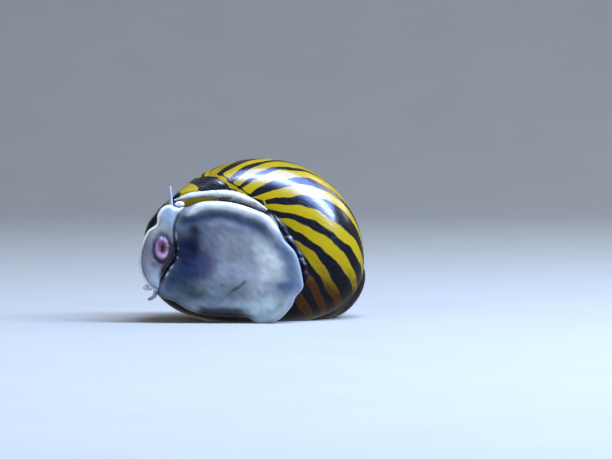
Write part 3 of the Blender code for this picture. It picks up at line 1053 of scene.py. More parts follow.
    def stripe_marks(self, meridian: Array, polar: Array) -> tuple[Array, Array]:
        """Stripes with slightly wavy edges.

        Args:
            meridian: Meridians of the places in degrees.
            polar: Their distances from the tip's pole in degrees.

        Returns:
            The mark band, and the shade of the nearest stripe.
        """
        wobble = 0.6 * np.sin(np.radians(polar * 7.0 + meridian * 3.0))
        wobble = wobble + 0.4 * np.sin(np.radians(polar * 17.0 - meridian * 5.0))
        band = np.zeros_like(meridian)
        tone = np.zeros_like(meridian)
        for stripe in STRIPES + HiddenStripes().build():
            value = stripe.nearness(meridian + wobble, polar)
            tone = np.where(value > band, stripe.shade, tone)
            band = np.maximum(band, value)
        return band, tone

    def growth_marks(self, meridian: Array, polar: Array, band: Array) -> tuple[Array, Array]:
        """Newest growth: dark with a yellow rim, painted shade along a furrow behind the rim and fine pale
        lines.

        Args:
            meridian: Meridians of the places in degrees.
            polar: Their distances from the tip's pole in degrees.
            band: The mark band so far.

        Returns:
            The mark band with the newest growth laid over it, and the mark lines.
        """
        start = self.growth_line(meridian)
        first, last = self.newest_meridians
        newest = smooth(polar, start - 0.5, start + 0.5)
        newest = newest * window(meridian, (first, first + 8), (last - 7, last))
        beside = window(meridian, (-66.0, -56.0), (20.0, 28.0))
        rim = 0.9 * hill(polar, start - 1.3, 0.85) * beside
        # Painted shade: the stripes darken along a thin furrow behind the rim.
        furrow = hill(polar, start - 3.4, 0.55) * beside * smooth(meridian, -42.0, -34.0)
        flame = smooth(polar, 159.0, 161.0) * window(meridian, (-121.0, -117.0), (-96.0, -90.0))
        band = band * (1 - newest) * (1 - 0.85 * furrow)
        weave = np.sin(np.radians(polar) * 260.0 + 1.5 * np.sin(np.radians(meridian * 4)))
        return np.maximum.reduce([band, rim, flame]), 0.15 * newest * smooth(weave, 0.6, 1.0)

    def marks(self, points: Array, away: Array, seam: Array) -> dict[str, Array]:
        """Marks that the finish reads.

        band is 1 at a stripe's middle, 0.5 at its edge and 0 a whole stripe away; tone runs
        from yellow to ochre; lines is the share of the pale lines and of a pale painted highlight
        along the lip's rim, worn that of the worn tip and deck that of the white face of the mouth;
        meridian holds the cosine and sine of the meridian and the distance from the tip, so that
        growth lines run from pole to pole with no seam.

        Args:
            points: Surface points.
            away: Their distance from the coil's axis.
            seam: Their suture share.

        Returns:
            The marks by name.
        """
        meridian, polar = self.globe(points)
        band, tone = self.stripe_marks(meridian, polar)
        # Ochre grows towards the bottom: partly the lower stripes' own browner colour, partly painted shade
        # on the lower shell.
        tone = np.clip(tone + 0.85 * smooth(-points[..., 2], -8.5, -0.5), 0, 1)
        band, lines = self.growth_marks(meridian, polar, band)
        # Painted shade: the stripes darken along the suture grooves of the coiled tip.
        rim_of_dome = self.coil.dome_radius
        groove = smooth(seam, 0.62, 0.8) * (1 - smooth(away, rim_of_dome - 0.6, rim_of_dome))
        band = band * (1 - 0.75 * groove)
        place = np.arctan2(points[..., 2] - self.centre[1], points[..., 0] - self.centre[0])
        outer_lip = smooth(np.cos(place - self.outer_lip_angle), -0.2, 0.35)
        row = np.arange(points.shape[0])[:, None]
        share = np.ones(row.shape)
        share[: self.deck_rows, 0] = self.deck_shares()
        deck = (row < self.deck_rows) * (1 - outer_lip * smooth(share, 0.80, 0.93))
        band, tone, deck, rim_highlight = self.lip_marks(points, row, band, tone, deck)
        turn = np.radians(meridian)
        fade = np.sin(np.radians(polar))
        pole = np.cos(np.radians(polar))
        direction = np.stack([np.cos(turn) * fade, np.sin(turn) * fade, pole], axis=-1)
        return {
            "band": band,
            "tone": tone,
            # The pale lines also carry the painted highlight along the lip's rim.
            "lines": np.maximum(lines, 0.85 * rim_highlight),
            "worn": 0.85 * (1 - smooth(away, 2.2, 4.6)),
            "deck": deck,
            "meridian": direction,
        }

    def lip_marks(
        self, points: Array, row: Array, band: Array, tone: Array, deck: Array
    ) -> tuple[Array, Array, Array, Array]:
        """Markings of the lip beside the head, where the photograph shows them.

        The newest growth is black round a yellow leaf, a rusty spot and a thin yellow rim;
        the mouth's face is yellow under the callus and painted black further right, as shadow in
        the narrow gap between callus and foot. A yellow hook joins two stripes beside the callus.

        Args:
            points: Surface points.
            row: Number of each ring, as a column.
            band: The mark band so far.
            tone: The mark tone so far.
            deck: The mark deck so far.

        Returns:
            The three marks with the lip's own laid over them, and the share of a pale painted highlight
            along the rim.
        """
        x, y, z = points[..., 0], points[..., 1], points[..., 2]
        front = 1 - smooth(y, *self.lip_depth)
        dark = smooth(-x, 5.9, 6.4) * window(z, (9.2, 9.9), (15.9, 16.3)) * front
        leaf = oval(x, z, (-7.54, 15.43), (1.32, 0.62), (0.85, 1.05)) * front
        spot = oval(x, z, (-9.8, 13.95), (0.6, 0.34), (0.7, 1.2)) * front
        edge = row >= self.deck_rows
        rim = edge * (row <= self.deck_rows + 5) * smooth(-x, 9.0, 9.6)
        rim = rim * window(z, (10.0, 10.5), (12.3, 12.8))
        start, course = (1.25, 14.3), (0.4, -0.916)
        along = np.clip((x - start[0]) * course[0] + (z - start[1]) * course[1], 0.0, 1.1)
        gap = np.hypot(x - start[0] - course[0] * along, z - start[1] - course[1] * along)
        hook = (1 - smooth(gap, 0.06, 0.16)) * front
        face = row <= self.deck_rows
        under = face * window(x, (-8.6, -8.1), (-4.1, -3.7)) * smooth(z, 12.9, 13.2)
        # Painted shadow: the mouth's white face turns black in the narrow gap between callus and foot.
        shade = face * window(x, (-4.1, -3.7), (2.0, 3.0)) * smooth(z, 12.0, 12.6)
        band = np.maximum.reduce([band * (1 - dark) * (1 - shade), leaf, spot, 0.9 * rim, under, hook])
        tone = (tone * (1 - dark) + 0.55 * spot + 0.12 * leaf) * (1 - under)
        # Painted highlight: a pale band along the lip's rim beside the head, laid as pale lines.
        rim_highlight = edge * (row <= self.deck_rows + 9) * smooth(-x, 9.6, 10.2)
        rim_highlight = rim_highlight * window(z, (10.6, 11.2), (12.6, 13.2)) * front
        return band, np.clip(tone, 0, 1), deck * (1 - dark) * (1 - under) * (1 - shade), rim_highlight

    def build(self) -> bpy.types.Object:
        """Make the shell and dress it. The newest growth lies a small step inwards.

        Returns:
            The piece.
        """
        points, away, seam = self.coil.raise_on(self.rings())
        meridian, polar = self.globe(points)
        step = hill(polar, self.growth_line(meridian), 1.2)
        step = step * window(meridian, (-80.0, -60.0), (20.0, 30.0))
        inward = unit(np.array((self.centre[0], self.core_depth, self.centre[1])) - points)
        points = points + inward * (self.newest_step * step)[..., None]
        piece = make_piece("shell", [Surface("shell", points, self.marks(points, away, seam))])
        piece.data.materials.append(ShellFinish().material())
        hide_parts("shell_body_whorl", "shell_spire")
        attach(piece, "root")
        return piece


def at_depth(line: Array, depth: float) -> Array:
    """Points of a flat line, whose columns start with x and z, at one depth behind the sole's plane."""
    return np.stack([line[:, 0], np.full(len(line), depth), line[:, 1]], axis=1)


def swell(rings: Array, middle: Array, factor: Array) -> Array:
    """Rings of a tube scaled about their middle points: middle + (ring - middle) * factor."""
    return middle[:, None, :] + (rings - middle[:, None, :]) * factor[..., None]


@dataclass
class Callus:
    """White ridge of the inner lip, over a thin yellow edge, turning tan where it thins out.

    Its route is a row of (x, z, half its height).
    """

    route: tuple[Triple, ...] = (
        (-9.0, 14.12, 0.08), (-8.55, 14.24, 0.15), (-8.0, 14.4, 0.25), (-7.0, 14.64, 0.39),
        (-5.6, 14.82, 0.36), (-4.3, 14.86, 0.44), (-3.2, 14.74, 0.62), (-1.8, 14.5, 0.62),
        (-0.3, 13.98, 0.52), (0.8, 13.42, 0.42), (1.7, 12.95, 0.2),
    )
    depth: float = 2.75
    half_width: float = 0.7
    half_depth: float = 0.64
    steps: int = 420
    sides: int = 64
    wrinkle: float = 0.05
    grain: float = 0.015
    wrinkle_stretch: Triple = (1.0, 0.3, 0.35)
    white: Triple = (0.66, 0.71, 0.79)
    tan: Triple = (0.27, 0.25, 0.215)
    pink: Triple = (0.42, 0.28, 0.24)
    yellow: Triple = (0.85, 0.66, 0.03)
    maroon: Triple = (0.12, 0.03, 0.03)

    def tint(self, rings: Array, flat: Array) -> Array:
        """Colours of the ridge.

        Tan grows to the right and keeps below the crest. A pink end, a blotchy maroon band low
        on the ridge, and the yellow edge with a maroon line above it lie over the tan.

        Args:
            rings: Rings of the ridge.
            flat: The route's x, z and half height at each ring.

        Returns:
            One colour per place.
        """
        x, z = rings[..., 0], rings[..., 2]
        off = (z - flat[:, 1][:, None]) / flat[:, 2][:, None]
        blotch = 0.5 + 0.5 * waves(rings.reshape(-1, 3), 0.8, 20, 12).reshape(x.shape)
        upper = smooth(off, -0.35, 0.35) * (1 - smooth(x, -0.9, 0.5))
        tan = smooth(x, -4.1, -3.1) * (1 - 0.8 * upper) * (0.7 + 0.3 * np.clip(blotch, 0, 1))
        maroon_band = hill(z, 14.38, 0.16) * smooth(x, -4.2, -3.9) * (1 - smooth(x, -2.1, -1.7))
        maroon_band = maroon_band * smooth(blotch, 0.2, 0.7)
        pinkish = hill(off, -0.3, 0.5) * smooth(x, -0.6, 0.6) * 0.6
        left = (1 - smooth(x, -4.1, -3.7)) * smooth(x, -7.9, -7.3)
        under = (1 - smooth(off, -0.86, -0.76)) * left
        line = hill(off, -0.72, 0.10) * left * 0.7
        return lay_all(np.asarray(self.white), [
            (tan, self.tan), (pinkish, self.pink), (0.8 * maroon_band, self.maroon),
            (under, self.yellow), (line, self.maroon),
        ])

    def build(self) -> bpy.types.Object:
        """Make the ridge: a flattened tube whose relief is fine cross wrinkles.

        Returns:
            The piece.
        """
        flat = spline(list(self.route), self.steps, False)
        middle = at_depth(flat, self.depth)
        share = np.linspace(0, 1, self.steps)[:, None]
        rings = tube_rings(middle, flat[:, 2], self.sides, self.half_depth / self.half_width)
        places = rings.reshape(-1, 3) * np.array(self.wrinkle_stretch)
        rough = np.abs(waves(places, 0.55, 24, 11).reshape(self.steps, self.sides))
        shrink = 1 - self.wrinkle * rough * smooth(share, 0.35, 0.6) - self.grain * rough
        rings = swell(rings, middle, shrink)
        piece = make_piece("callus_ridge", [Surface("callus", rings, {"tint": self.tint(rings, flat)})])
        piece.data.materials.append(GlazeFinish("callus_white", 0.2, 0.35, clear=0.2).material())
        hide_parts("callus")
        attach(piece, "root")
        return piece


@dataclass
class Operculum:
    """Horny door on the back of the foot, with growth arcs."""

    centre: Pair = (3.3, 4.6)
    half_size: Pair = (1.9, 2.7)
    depths: Pair = (2.3, 2.95)
    around: int = 160
    arc_rate: float = 26.0
    arc_height: float = 0.03
    brown: Triple = (0.16, 0.05, 0.03)
    cream: Triple = (0.42, 0.27, 0.16)

    def profile(self) -> list[Triple]:
        """Profile from the middle of the front over the rounded edge to the back.

        The front's depth ripples by a sine of its scale.

        Returns:
            Scale, depth and place among the growth arcs of each ring.
        """
        front, back = self.depths
        rows = [
            (share, front + self.arc_height * math.sin(share * self.arc_rate) + self.arc_height, share)
            for share in np.linspace(0.08, 0.94, 26)
        ]
        rows += [(0.98, front + 0.12, 1.0), (1.0, (front + back) / 2, 1.0), (0.985, back - 0.1, 1.0)]
        return rows + [(share, back - 0.01, share) for share in (0.94, 0.6, 0.2)]

    def build(self) -> bpy.types.Object:
        """Make the plate as ovals along its profile, coloured by a sine of the growth arcs.

        Returns:
            The piece.
        """
        turn = np.linspace(0, 2 * math.pi, self.around, endpoint=False)
        rings, tints = [], []
        for scale, depth, share in self.profile():
            x = self.centre[0] + scale * self.half_size[0] * np.cos(turn)
            z = self.centre[1] + scale * self.half_size[1] * np.sin(turn)
            rings.append(np.stack([x, np.full(self.around, depth), z], axis=1))
            mix = 0.5 + 0.5 * math.sin(share * self.arc_rate)
            shade = np.asarray(self.brown) * (1 - 0.5 * mix) + np.asarray(self.cream) * 0.5 * mix
            tints.append(np.tile(shade, (self.around, 1)))
        surface = Surface("operculum", np.stack(rings), {"tint": np.stack(tints)})
        piece = make_piece("operculum_plate", [surface])
        piece.data.materials.append(GlazeFinish("operculum_horn", 0.3, 0.6).material())
        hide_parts("operculum")
        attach(piece, "root")
        return piece


# Flesh


@dataclass(frozen=True)
class Feeler:
    """One feeler: a tapering tube with faint rings, its root sunk in the head."""

    route: tuple[Triple, ...]
    steps: int = 130
    sides: int = 20
    root_radius: float = 0.26
    taper: float = 0.13
    round_end: float = 14.0
    ring_rate: float = 130.0
    ring_height: float = 0.04
    blue: Triple = (0.35, 0.38, 0.56)
    pale: Triple = (0.75, 0.74, 0.88)

    def surface(self) -> Surface:
        """Tube whose radius shrinks in a straight line and rounds off by a square root at its end.

        Returns:
            The feeler with its marks.
        """
        middle = spline(list(self.route), self.steps, False)
        share = np.linspace(0, 1, self.steps)
        radius = self.root_radius - self.taper * share
        radius = radius * np.sqrt(np.clip((1 - share) * self.round_end, 0.02, 1))
        radius = radius * (1 + self.ring_height * np.sin(share * self.ring_rate))
        rings = tube_rings(middle, radius, self.sides)
        pale = (0.5 + 0.5 * np.sin(share * self.ring_rate))[:, None] * 0.25
        colour = lay(np.ones(rings.shape) * np.asarray(self.blue), pale, self.pale)
        return Surface("feeler", rings, {"tint": colour, "wet_glint": np.zeros(rings.shape[:2])})


FEELERS = {
    Side.LEFT: Feeler((
        (-9.2, 1.3, 13.1), (-9.26, 1.3, 13.8), (-9.31, 1.33, 14.5), (-9.37, 1.37, 15.2), (-9.4, 1.4, 15.8),
    )),
    Side.RIGHT: Feeler((
        (-11.0, 1.4, 4.2), (-11.2, 1.8, 3.2), (-11.5, 2.7, 2.85), (-11.9, 4.0, 2.6), (-12.1, 5.4, 2.5),
        (-11.8, 6.7, 2.6),
    )),
}


@dataclass(frozen=True)
class Mantle:
    """Lumpy rim of the mantle between shell and sole. Each glint has its height, colour and size."""

    route: tuple[Pair, ...] = (
        (2.5, 12.45), (3.45, 11.1), (4.35, 9.6), (5.2, 8.3), (5.85, 6.9), (6.15, 5.6), (6.2, 4.3),
    )
    depth: float = 2.75
    steps: int = 300
    sides: int = 36
    radius: float = 0.42
    flatness: float = 1.45
    black: Triple = (0.003, 0.004, 0.011)
    grey: Triple = (0.034, 0.037, 0.058)
    maroon: Triple = (0.024, 0.007, 0.016)
    glint: float = 0.42
    glints: tuple[tuple[float, Triple, float], ...] = (
        (11.9, (0.45, 0.48, 0.53), 0.18), (9.9, (0.70, 0.74, 0.78), 0.12), (7.35, (0.35, 0.48, 0.68), 0.14),
    )

    def surface(self) -> Surface:
        """Tube whose radius swells and pinches by an uneven sine, with smooth random lumps.

        Returns:
            The rim with its marks.
        """
        flat = spline(list(self.route), self.steps, False)
        middle = at_depth(flat, self.depth)
        share = np.linspace(0, 1, self.steps)
        radius = self.radius * np.clip(4 * np.minimum(share, 1 - share) + 0.3, 0, 1)
        radius = radius * (1 + 0.12 * np.sin(2 * math.pi * 6 * share + 0.9 * np.sin(9 * share)))
        rings = tube_rings(middle, radius * 0.98, self.sides, self.flatness)
        place = rings.reshape(-1, 3)
        lumps = waves(place, 0.75, 26, 20).reshape(self.steps, self.sides)
        rings = swell(rings, middle, 0.94 + 0.05 * np.clip(lumps, -1.2, 1.2))
        cloud = np.clip(0.3 + 0.5 * waves(place, 0.9, 20, 21), 0, 1).reshape(self.steps, self.sides)
        height = rings[..., 2]
        layers = [(cloud, self.grey)]
        for middle_z, shade, size in self.glints:
            layers.append((hill(height, middle_z, size) * self.glint, shade))
        layers.append((hill(height, 5.6, 1.0) * 0.85, self.maroon))
        colour = lay_all(np.asarray(self.black), layers)
        return Surface("mantle", rings, {"tint": np.clip(colour, 0, 1), "wet_glint": np.zeros(height.shape)})


@dataclass(frozen=True)
class FleshColours:
    """Colours of the flesh, from the sole over the head to the mouth."""

    sole: Triple = (0.20, 0.25, 0.31)
    sole_margin: Triple = (0.71, 0.75, 0.83)
    sole_rim: Triple = (0.55, 0.66, 0.82)
    sole_furrow_shade: Triple = (0.032, 0.055, 0.125)
    sole_right: Triple = (0.070, 0.130, 0.280)
    sole_under_shadow: Triple = (0.016, 0.018, 0.030)
    back: Triple = (0.10, 0.12, 0.19)
    groove_shade: Triple = (0.02, 0.022, 0.05)
    head: Triple = (0.29, 0.31, 0.36)
    head_rim: Triple = (0.86, 0.88, 0.94)
    head_line: Triple = (0.09, 0.08, 0.14)
    mouth_shadow: Triple = (0.026, 0.025, 0.058)
    lips: Triple = (0.25, 0.125, 0.26)
    lip_ridge: Triple = (0.46, 0.31, 0.48)
    lip_right: Triple = (0.19, 0.11, 0.14)
    lip_gleam: Triple = (0.56, 0.60, 0.70)
    deep: Triple = (0.24, 0.080, 0.125)
    slit: Triple = (0.085, 0.020, 0.038)
    fold: Triple = (0.50, 0.34, 0.46)
    glint: Triple = (0.62, 0.66, 0.80)


@dataclass
class Flesh:
    """One wet skin: sole, head, mouth, feelers and the mantle's rim.

    The groove between head and sole is a row of (z, x). The back is a row of (share of the
    column's oval, scale of the outline, depth) from the rounded edge to the column.
    """

    centre: Pair = (-3.6, 7.3)
    outline: tuple[Pair, ...] = (
        (-7.35, 13.38), (-5.75, 14.0), (-3.9, 14.1), (-1.85, 13.85), (0.2, 13.2), (1.95, 12.4),
        (3.05, 11.1), (3.85, 9.6), (5.0, 8.3), (5.55, 6.9), (5.9, 5.2), (5.95, 4.1),
        (5.1, 3.0), (4.6, 1.9), (3.3, 0.5), (2.0, -0.02), (0.7, 0.0), (-0.5, 0.65),
        (-3.0, 0.8), (-5.3, 0.95), (-7.4, 1.6), (-8.9, 2.5), (-10.2, 2.95), (-10.75, 3.65),
        (-11.5, 3.95), (-12.3, 4.9), (-12.85, 6.2), (-12.93, 7.8), (-12.58, 9.3), (-11.95, 10.65),
        (-10.97, 11.45), (-10.85, 12.4), (-10.5, 13.15), (-9.95, 13.57), (-9.4, 13.68), (-9.05, 13.58),
        (-8.85, 13.44), (-8.3, 13.32), (-7.8, 13.44),
    )
    groove: tuple[Pair, ...] = (
        (13.6, -7.6), (13.1, -7.95), (12.3, -8.5), (11.4, -8.85), (10.6, -8.92), (9.5, -8.8), (8.5, -8.65),
        (7.5, -8.72), (6.8, -9.3), (6.0, -9.8), (5.2, -10.3), (3.9, -10.65), (3.0, -10.8),
    )
    back: tuple[Triple, ...] = (
        (0.0, 1.0, 0.75), (0.0, 0.997, 0.95), (0.0, 0.985, 1.2), (0.0, 0.965, 1.4), (0.03, 0.95, 1.53),
        (0.12, 0.96, 1.66), (0.3, 0.98, 1.8), (0.5, 1.0, 1.92), (0.7, 1.0, 2.03), (0.86, 1.0, 2.13),
        (0.96, 1.0, 2.28), (1.0, 1.0, 2.6), (1.0, 1.0, 3.3), (1.0, 1.0, 4.4), (1.0, 1.0, 5.6),
    )
    mouth: Pair = (-10.3, 8.62)
    mouth_half: Pair = (0.74, 1.2)
    edge_round: float = 0.5
    edge_depth: float = 0.55
    head_deeper: float = 0.85
    column_half: Pair = (4.35, 4.35)
    around: int = 600
    front_rows: int = 118
    colours: FleshColours = FleshColours()

    def edge_reach(self, angles: Array) -> Array:
        """Distance from the centre to the outline of sole and head along each direction."""
        return reach_of(spline(list(self.outline), 2400, True), self.centre, angles)

    def edge_distance(self, x: Array, z: Array) -> Array:
        """Shortest distance to the outline, ring by ring: the least over the points of the outline.

        Args:
            x: Places along the animal, one row per ring.
            z: Heights of the places.

        Returns:
            One distance per place.
        """
        line = spline(list(self.outline), 900, True)
        gaps = [
            np.hypot(row_x[:, None] - line[None, :, 0], row_z[:, None] - line[None, :, 1]).min(axis=1)
            for row_x, row_z in zip(x, z)
        ]
        return np.stack(gaps)

    def groove_gap(self, x: Array, z: Array) -> Array:
        """Signed distance to the groove between head and sole.

        Args:
            x: Places along the animal.
            z: Heights of the places.

        Returns:
            The step along x over the root of 1 + steepness^2, negative on the head.
        """
        line = np.asarray(self.groove)[::-1]
        place = np.interp(z, line[:, 0], line[:, 1])
        steep = np.interp(z, line[:, 0], np.abs(np.gradient(line[:, 1], line[:, 0])))
        return (x - place) / np.sqrt(1 + steep**2)

    def mouth_reach(self, x: Array, z: Array) -> tuple[Array, Array, Array]:
        """Place about the mouth.

        Args:
            x: Places along the animal.
            z: Heights of the places.

        Returns:
            The two coordinates in shares of the mouth's half size, and the distance from its middle.
        """
        across = (x - self.mouth[0]) / self.mouth_half[0]
        along = (z - self.mouth[1]) / self.mouth_half[1]
        return across, along, np.hypot(across, along)

    def front_depth(self, x: Array, z: Array, inset: Array) -> Array:
        """Relief of the front: how far each place lies behind the plane of the sole.

        A rounded edge falls back by a quarter circle over the last half millimetre. Behind
        it come a raised margin, a shallow furrow and a gently wavy middle; the groove and
        the mouth are sums of bell curves.

        Args:
            x: Places along the animal.
            z: Heights of the places.
            inset: Their distance from the outline.

        Returns:
            One depth per place.
        """
        gap = self.groove_gap(x, z)
        edge = np.clip(1 - inset / self.edge_round, 0, 1)
        depth = self.edge_depth * (1 - np.sqrt(np.clip(1 - edge**2, 0, 1)))
        sole = smooth(gap, 0.0, 0.6)
        head = 1 - smooth(gap, -0.6, 0.0)
        top = smooth(z, 8.0, 12.0)
        depth += sole * (0.22 * hill(inset, 1.75, 0.65) * (0.35 + 0.65 * top) + 0.05)
        place = np.stack([x, np.zeros_like(x), z], axis=-1).reshape(-1, 3)
        depth += 0.035 * (1 + waves(place, 3.2, 18, 3).reshape(x.shape)) * smooth(inset, 0.5, 1.6)
        depth += 0.010 * (1 + waves(place, 0.8, 30, 4).reshape(x.shape)) * smooth(inset, 0.3, 1.0)
        open_wide = 0.45 + 0.55 * smooth(z, 4.0, 5.6) * (1 - smooth(z, 9.2, 11.6))
        depth += open_wide * (0.75 * hill(gap, 0.0, 0.15) + 0.32 * np.exp(-((np.abs(gap) / 0.55) ** 1.6)))
        depth += head * 0.30 * np.clip(1 - inset / 1.3, 0, 1) ** 2
        return self.with_mouth(depth, x, z)

    def with_mouth(self, depth: Array, x: Array, z: Array) -> Array:
        """Add the mouth's relief: two folds of the lips, a fine furrow, the pocket and the slit.

        Args:
            depth: Depths so far, which are changed.
            x: Places along the animal.
            z: Heights of the places.

        Returns:
            The depths, none of them before the sole's plane.
        """
        across, along, reach = self.mouth_reach(x, z)
        turn = np.arctan2(along, across)
        lips = 1 + 0.035 * np.sin(7 * turn + 0.8) + 0.03 * np.sin(12 * turn) + 0.02 * np.sin(3 * turn + 2.0)
        depth += 0.16 * hill(reach / lips, 1.3, 0.26)
        depth -= 0.12 * hill(reach / lips, 0.84, 0.22)
        depth += 0.10 * hill(reach / lips, 0.62, 0.09)
        depth += 0.34 * (1 - smooth(reach, 0.15, 0.66))
        depth += 0.30 * np.exp(-(((across - 0.12) / 0.15) ** 2) - (along / 0.46) ** 4)
        return np.maximum(depth, 0.0)

    def sole_tint(self, x: Array, z: Array, inset: Array, gap: Array) -> Array:
        """Colours of the sole: blue and lilac clouds, a pale ragged margin brightened along the top as
        painted light, and painted shade in the furrow under it.

        Args:
            x: Places along the animal.
            z: Heights of the places.
            inset: Their distance from the outline.
            gap: Their signed distance from the groove.

        Returns:
            One colour per place.
        """
        colour = paint(np.ones(x.shape + (3,)) * np.asarray(self.colours.sole), x, z, SOLE_PATCHES)
        top = smooth(z, 7.5, 11.5) * smooth(gap, 0.2, 1.2)
        rag = inset * (1 + 0.07 * np.sin(x * 1.3 + z) + 0.02 * np.sin(x * 3.1 - z * 2.0))
        lower = 1 - smooth(z, 2.6, 4.6)
        side = smooth(x, 1.2, 3.6)
        # The pale margin is the sole's own colour; its far greater strength along the top is painted light
        # from above.
        margin = (1 - smooth(rag, 0.55, 1.2)) * (0.30 + 0.70 * top) * (1 - 0.8 * lower * (1 - side))
        thin = side * (1 - smooth(z, 9.4, 11.8)) * (1 - lower)
        margin = margin * (1 - 0.8 * thin) * (1 - 0.75 * smooth(-x, 5.5, 7.5) * (1 - top))
        rim = (1 - smooth(rag, 0.06, 0.22)) * side * 0.6
        # Painted shade: a dark band in the furrow under the top margin.
        furrow = hill(rag, 1.75, 0.6) * top * 0.95
        right = hill(rag, 0.9, 0.9) * side * (1 - lower) * (1 - 0.7 * top) * 0.6
        # Painted shade: dark where the sole's lower edge curls under.
        under_shadow = (1 - smooth(rag, 0.7, 1.35)) * lower * (1 - smooth(x, -1.6, 0.4)) * smooth(x, -6.8, -5.4)
        colour = lay_all(colour, [
            (furrow, self.colours.sole_furrow_shade), (right, self.colours.sole_right),
            (margin, self.colours.sole_margin), (0.6 * rim, self.colours.sole_rim),
            (0.9 * under_shadow, self.colours.sole_under_shadow),
        ])
        # Painted shade: the outermost half millimetre of the edge is darkened by up to a fifth, from about 3
        # mm up.
        return colour * (1 - 0.2 * (1 - smooth(inset, 0.02, 0.5)) * smooth(z, 3.0, 7.0))[..., None]

    def head_tint(self, x: Array, z: Array, inset: Array) -> Array:
        """Colours of the head: its own patches, a pale rim and a thin dark line inside the rim.

        Args:
            x: Places along the animal.
            z: Heights of the places.
            inset: Their distance from the outline.

        Returns:
            One colour per place.
        """
        colour = paint(np.ones(x.shape + (3,)) * np.asarray(self.colours.head), x, z, HEAD_PATCHES)
        wide = 0.10 * smooth(z, 11.2, 12.4)
        rim = 0.9 * (1 - smooth(inset - wide, 0.17, 0.30))
        line = 0.45 * hill(inset - wide, 0.40, 0.07) * (1 - smooth(z, 11.0, 12.2))
        return lay_all(colour, [(line, self.colours.head_line), (rim, self.colours.head_rim)])

    def mouth_layers(self, x: Array, z: Array) -> list[tuple[Array, Triple]]:
        """Layers of the mouth: a painted shadow round it, the lips with their ridge and gleam, the deep and
        the slit.

        Args:
            x: Places along the animal.
            z: Heights of the places.

        Returns:
            Share and shade of each layer, the lowest first.
        """
        across, along, reach = self.mouth_reach(x, z)
        turn = np.arctan2(along, across)
        ragged = reach * (1 + 0.03 * np.sin(3 * turn + 1.0) + 0.012 * np.sin(7 * turn))
        # Painted shadow: a dark ring round the lips, fainter above.
        mouth_shadow = (0.92 - 0.3 * smooth(along, 0.4, 1.1)) * np.exp(-((np.abs(ragged - 1.22) / 0.36) ** 2.4))
        lips = smooth(-ragged, -1.16, -0.92)
        deep = 0.78 * smooth(-ragged, -0.60, -0.25) * (0.35 + 0.65 * smooth(across, -0.25, 0.15))
        gleam = 0.62 * hill(ragged, 0.80, 0.13) * smooth(np.cos(turn + 0.85), 0.75, 0.95)
        return [
            (mouth_shadow, self.colours.mouth_shadow),
            (lips, self.colours.lips),
            (0.5 * hill(ragged, 0.84, 0.10) * (0.6 + 0.4 * np.cos(turn)), self.colours.lip_ridge),
            (deep, self.colours.deep),
            (0.6 * smooth(across, 0.25, 0.8) * lips, self.colours.lip_right),
            (gleam, self.colours.lip_gleam),
            (np.exp(-(((across - 0.19) / 0.17) ** 2) - (along / 0.5) ** 4), self.colours.slit),
            (0.7 * hill(across, -0.12, 0.10) * hill(along, 0.15, 0.35), self.colours.fold),
            (0.8 * hill(across, 0.24, 0.10) * hill(along, -0.45, 0.16), self.colours.glint),
        ]

    def tint(self, x: Array, z: Array, inset: Array) -> Array:
        """Colours of the whole front: the sole, then the head, the groove, the mouth and the wet glints.

        Args:
            x: Places along the animal.
            z: Heights of the places.
            inset: Their distance from the outline.

        Returns:
            One colour per place, from 0 to 1.
        """
        gap = self.groove_gap(x, z)
        head = 1 - smooth(gap, -0.35, 0.05)
        low = smooth(z, 4.2, 5.2) * (1 - smooth(z, 8.2, 9.4))
        # Painted shade: a dark line along the bottom of the groove between head and sole.
        groove_shade = (0.30 + 0.55 * low) * hill(gap, 0.0, 0.14 + 0.12 * low) * smooth(-z, -12.9, -11.9)
        layers = [(head, self.head_tint(x, z, inset)), (groove_shade, self.colours.groove_shade)]
        colour = lay_all(self.sole_tint(x, z, inset, gap), layers + self.mouth_layers(x, z))
        return np.clip(paint(colour, x, z, GROOVE_GLINTS), 0, 1)

    def front(self, angles: Array, edge: Array) -> tuple[Array, Array]:
        """Front of sole and head: rings whose share of the reach grows towards the outline.

        The distance from the outline follows the reach near the edge and the true distance
        further in.

        Args:
            angles: Directions from the centre in radians.
            edge: Reach of the outline along them.

        Returns:
            The rings, and one colour per place.
        """
        shares = 1 - np.linspace(1, 0, self.front_rows) ** 1.35
        radius = (0.01 + 0.99 * shares)[:, None] * edge[None, :]
        x = self.centre[0] + radius * np.cos(angles)
        z = self.centre[1] + radius * np.sin(angles)
        radial = (edge[None, :] - radius) * 0.93
        near = smooth(radial, 0.1, 0.5)
        inset = radial * (1 - near) + np.minimum(self.edge_distance(x, z), radial * 1.1) * near
        return np.stack([x, self.front_depth(x, z, inset), z], axis=-1), self.tint(x, z, inset)

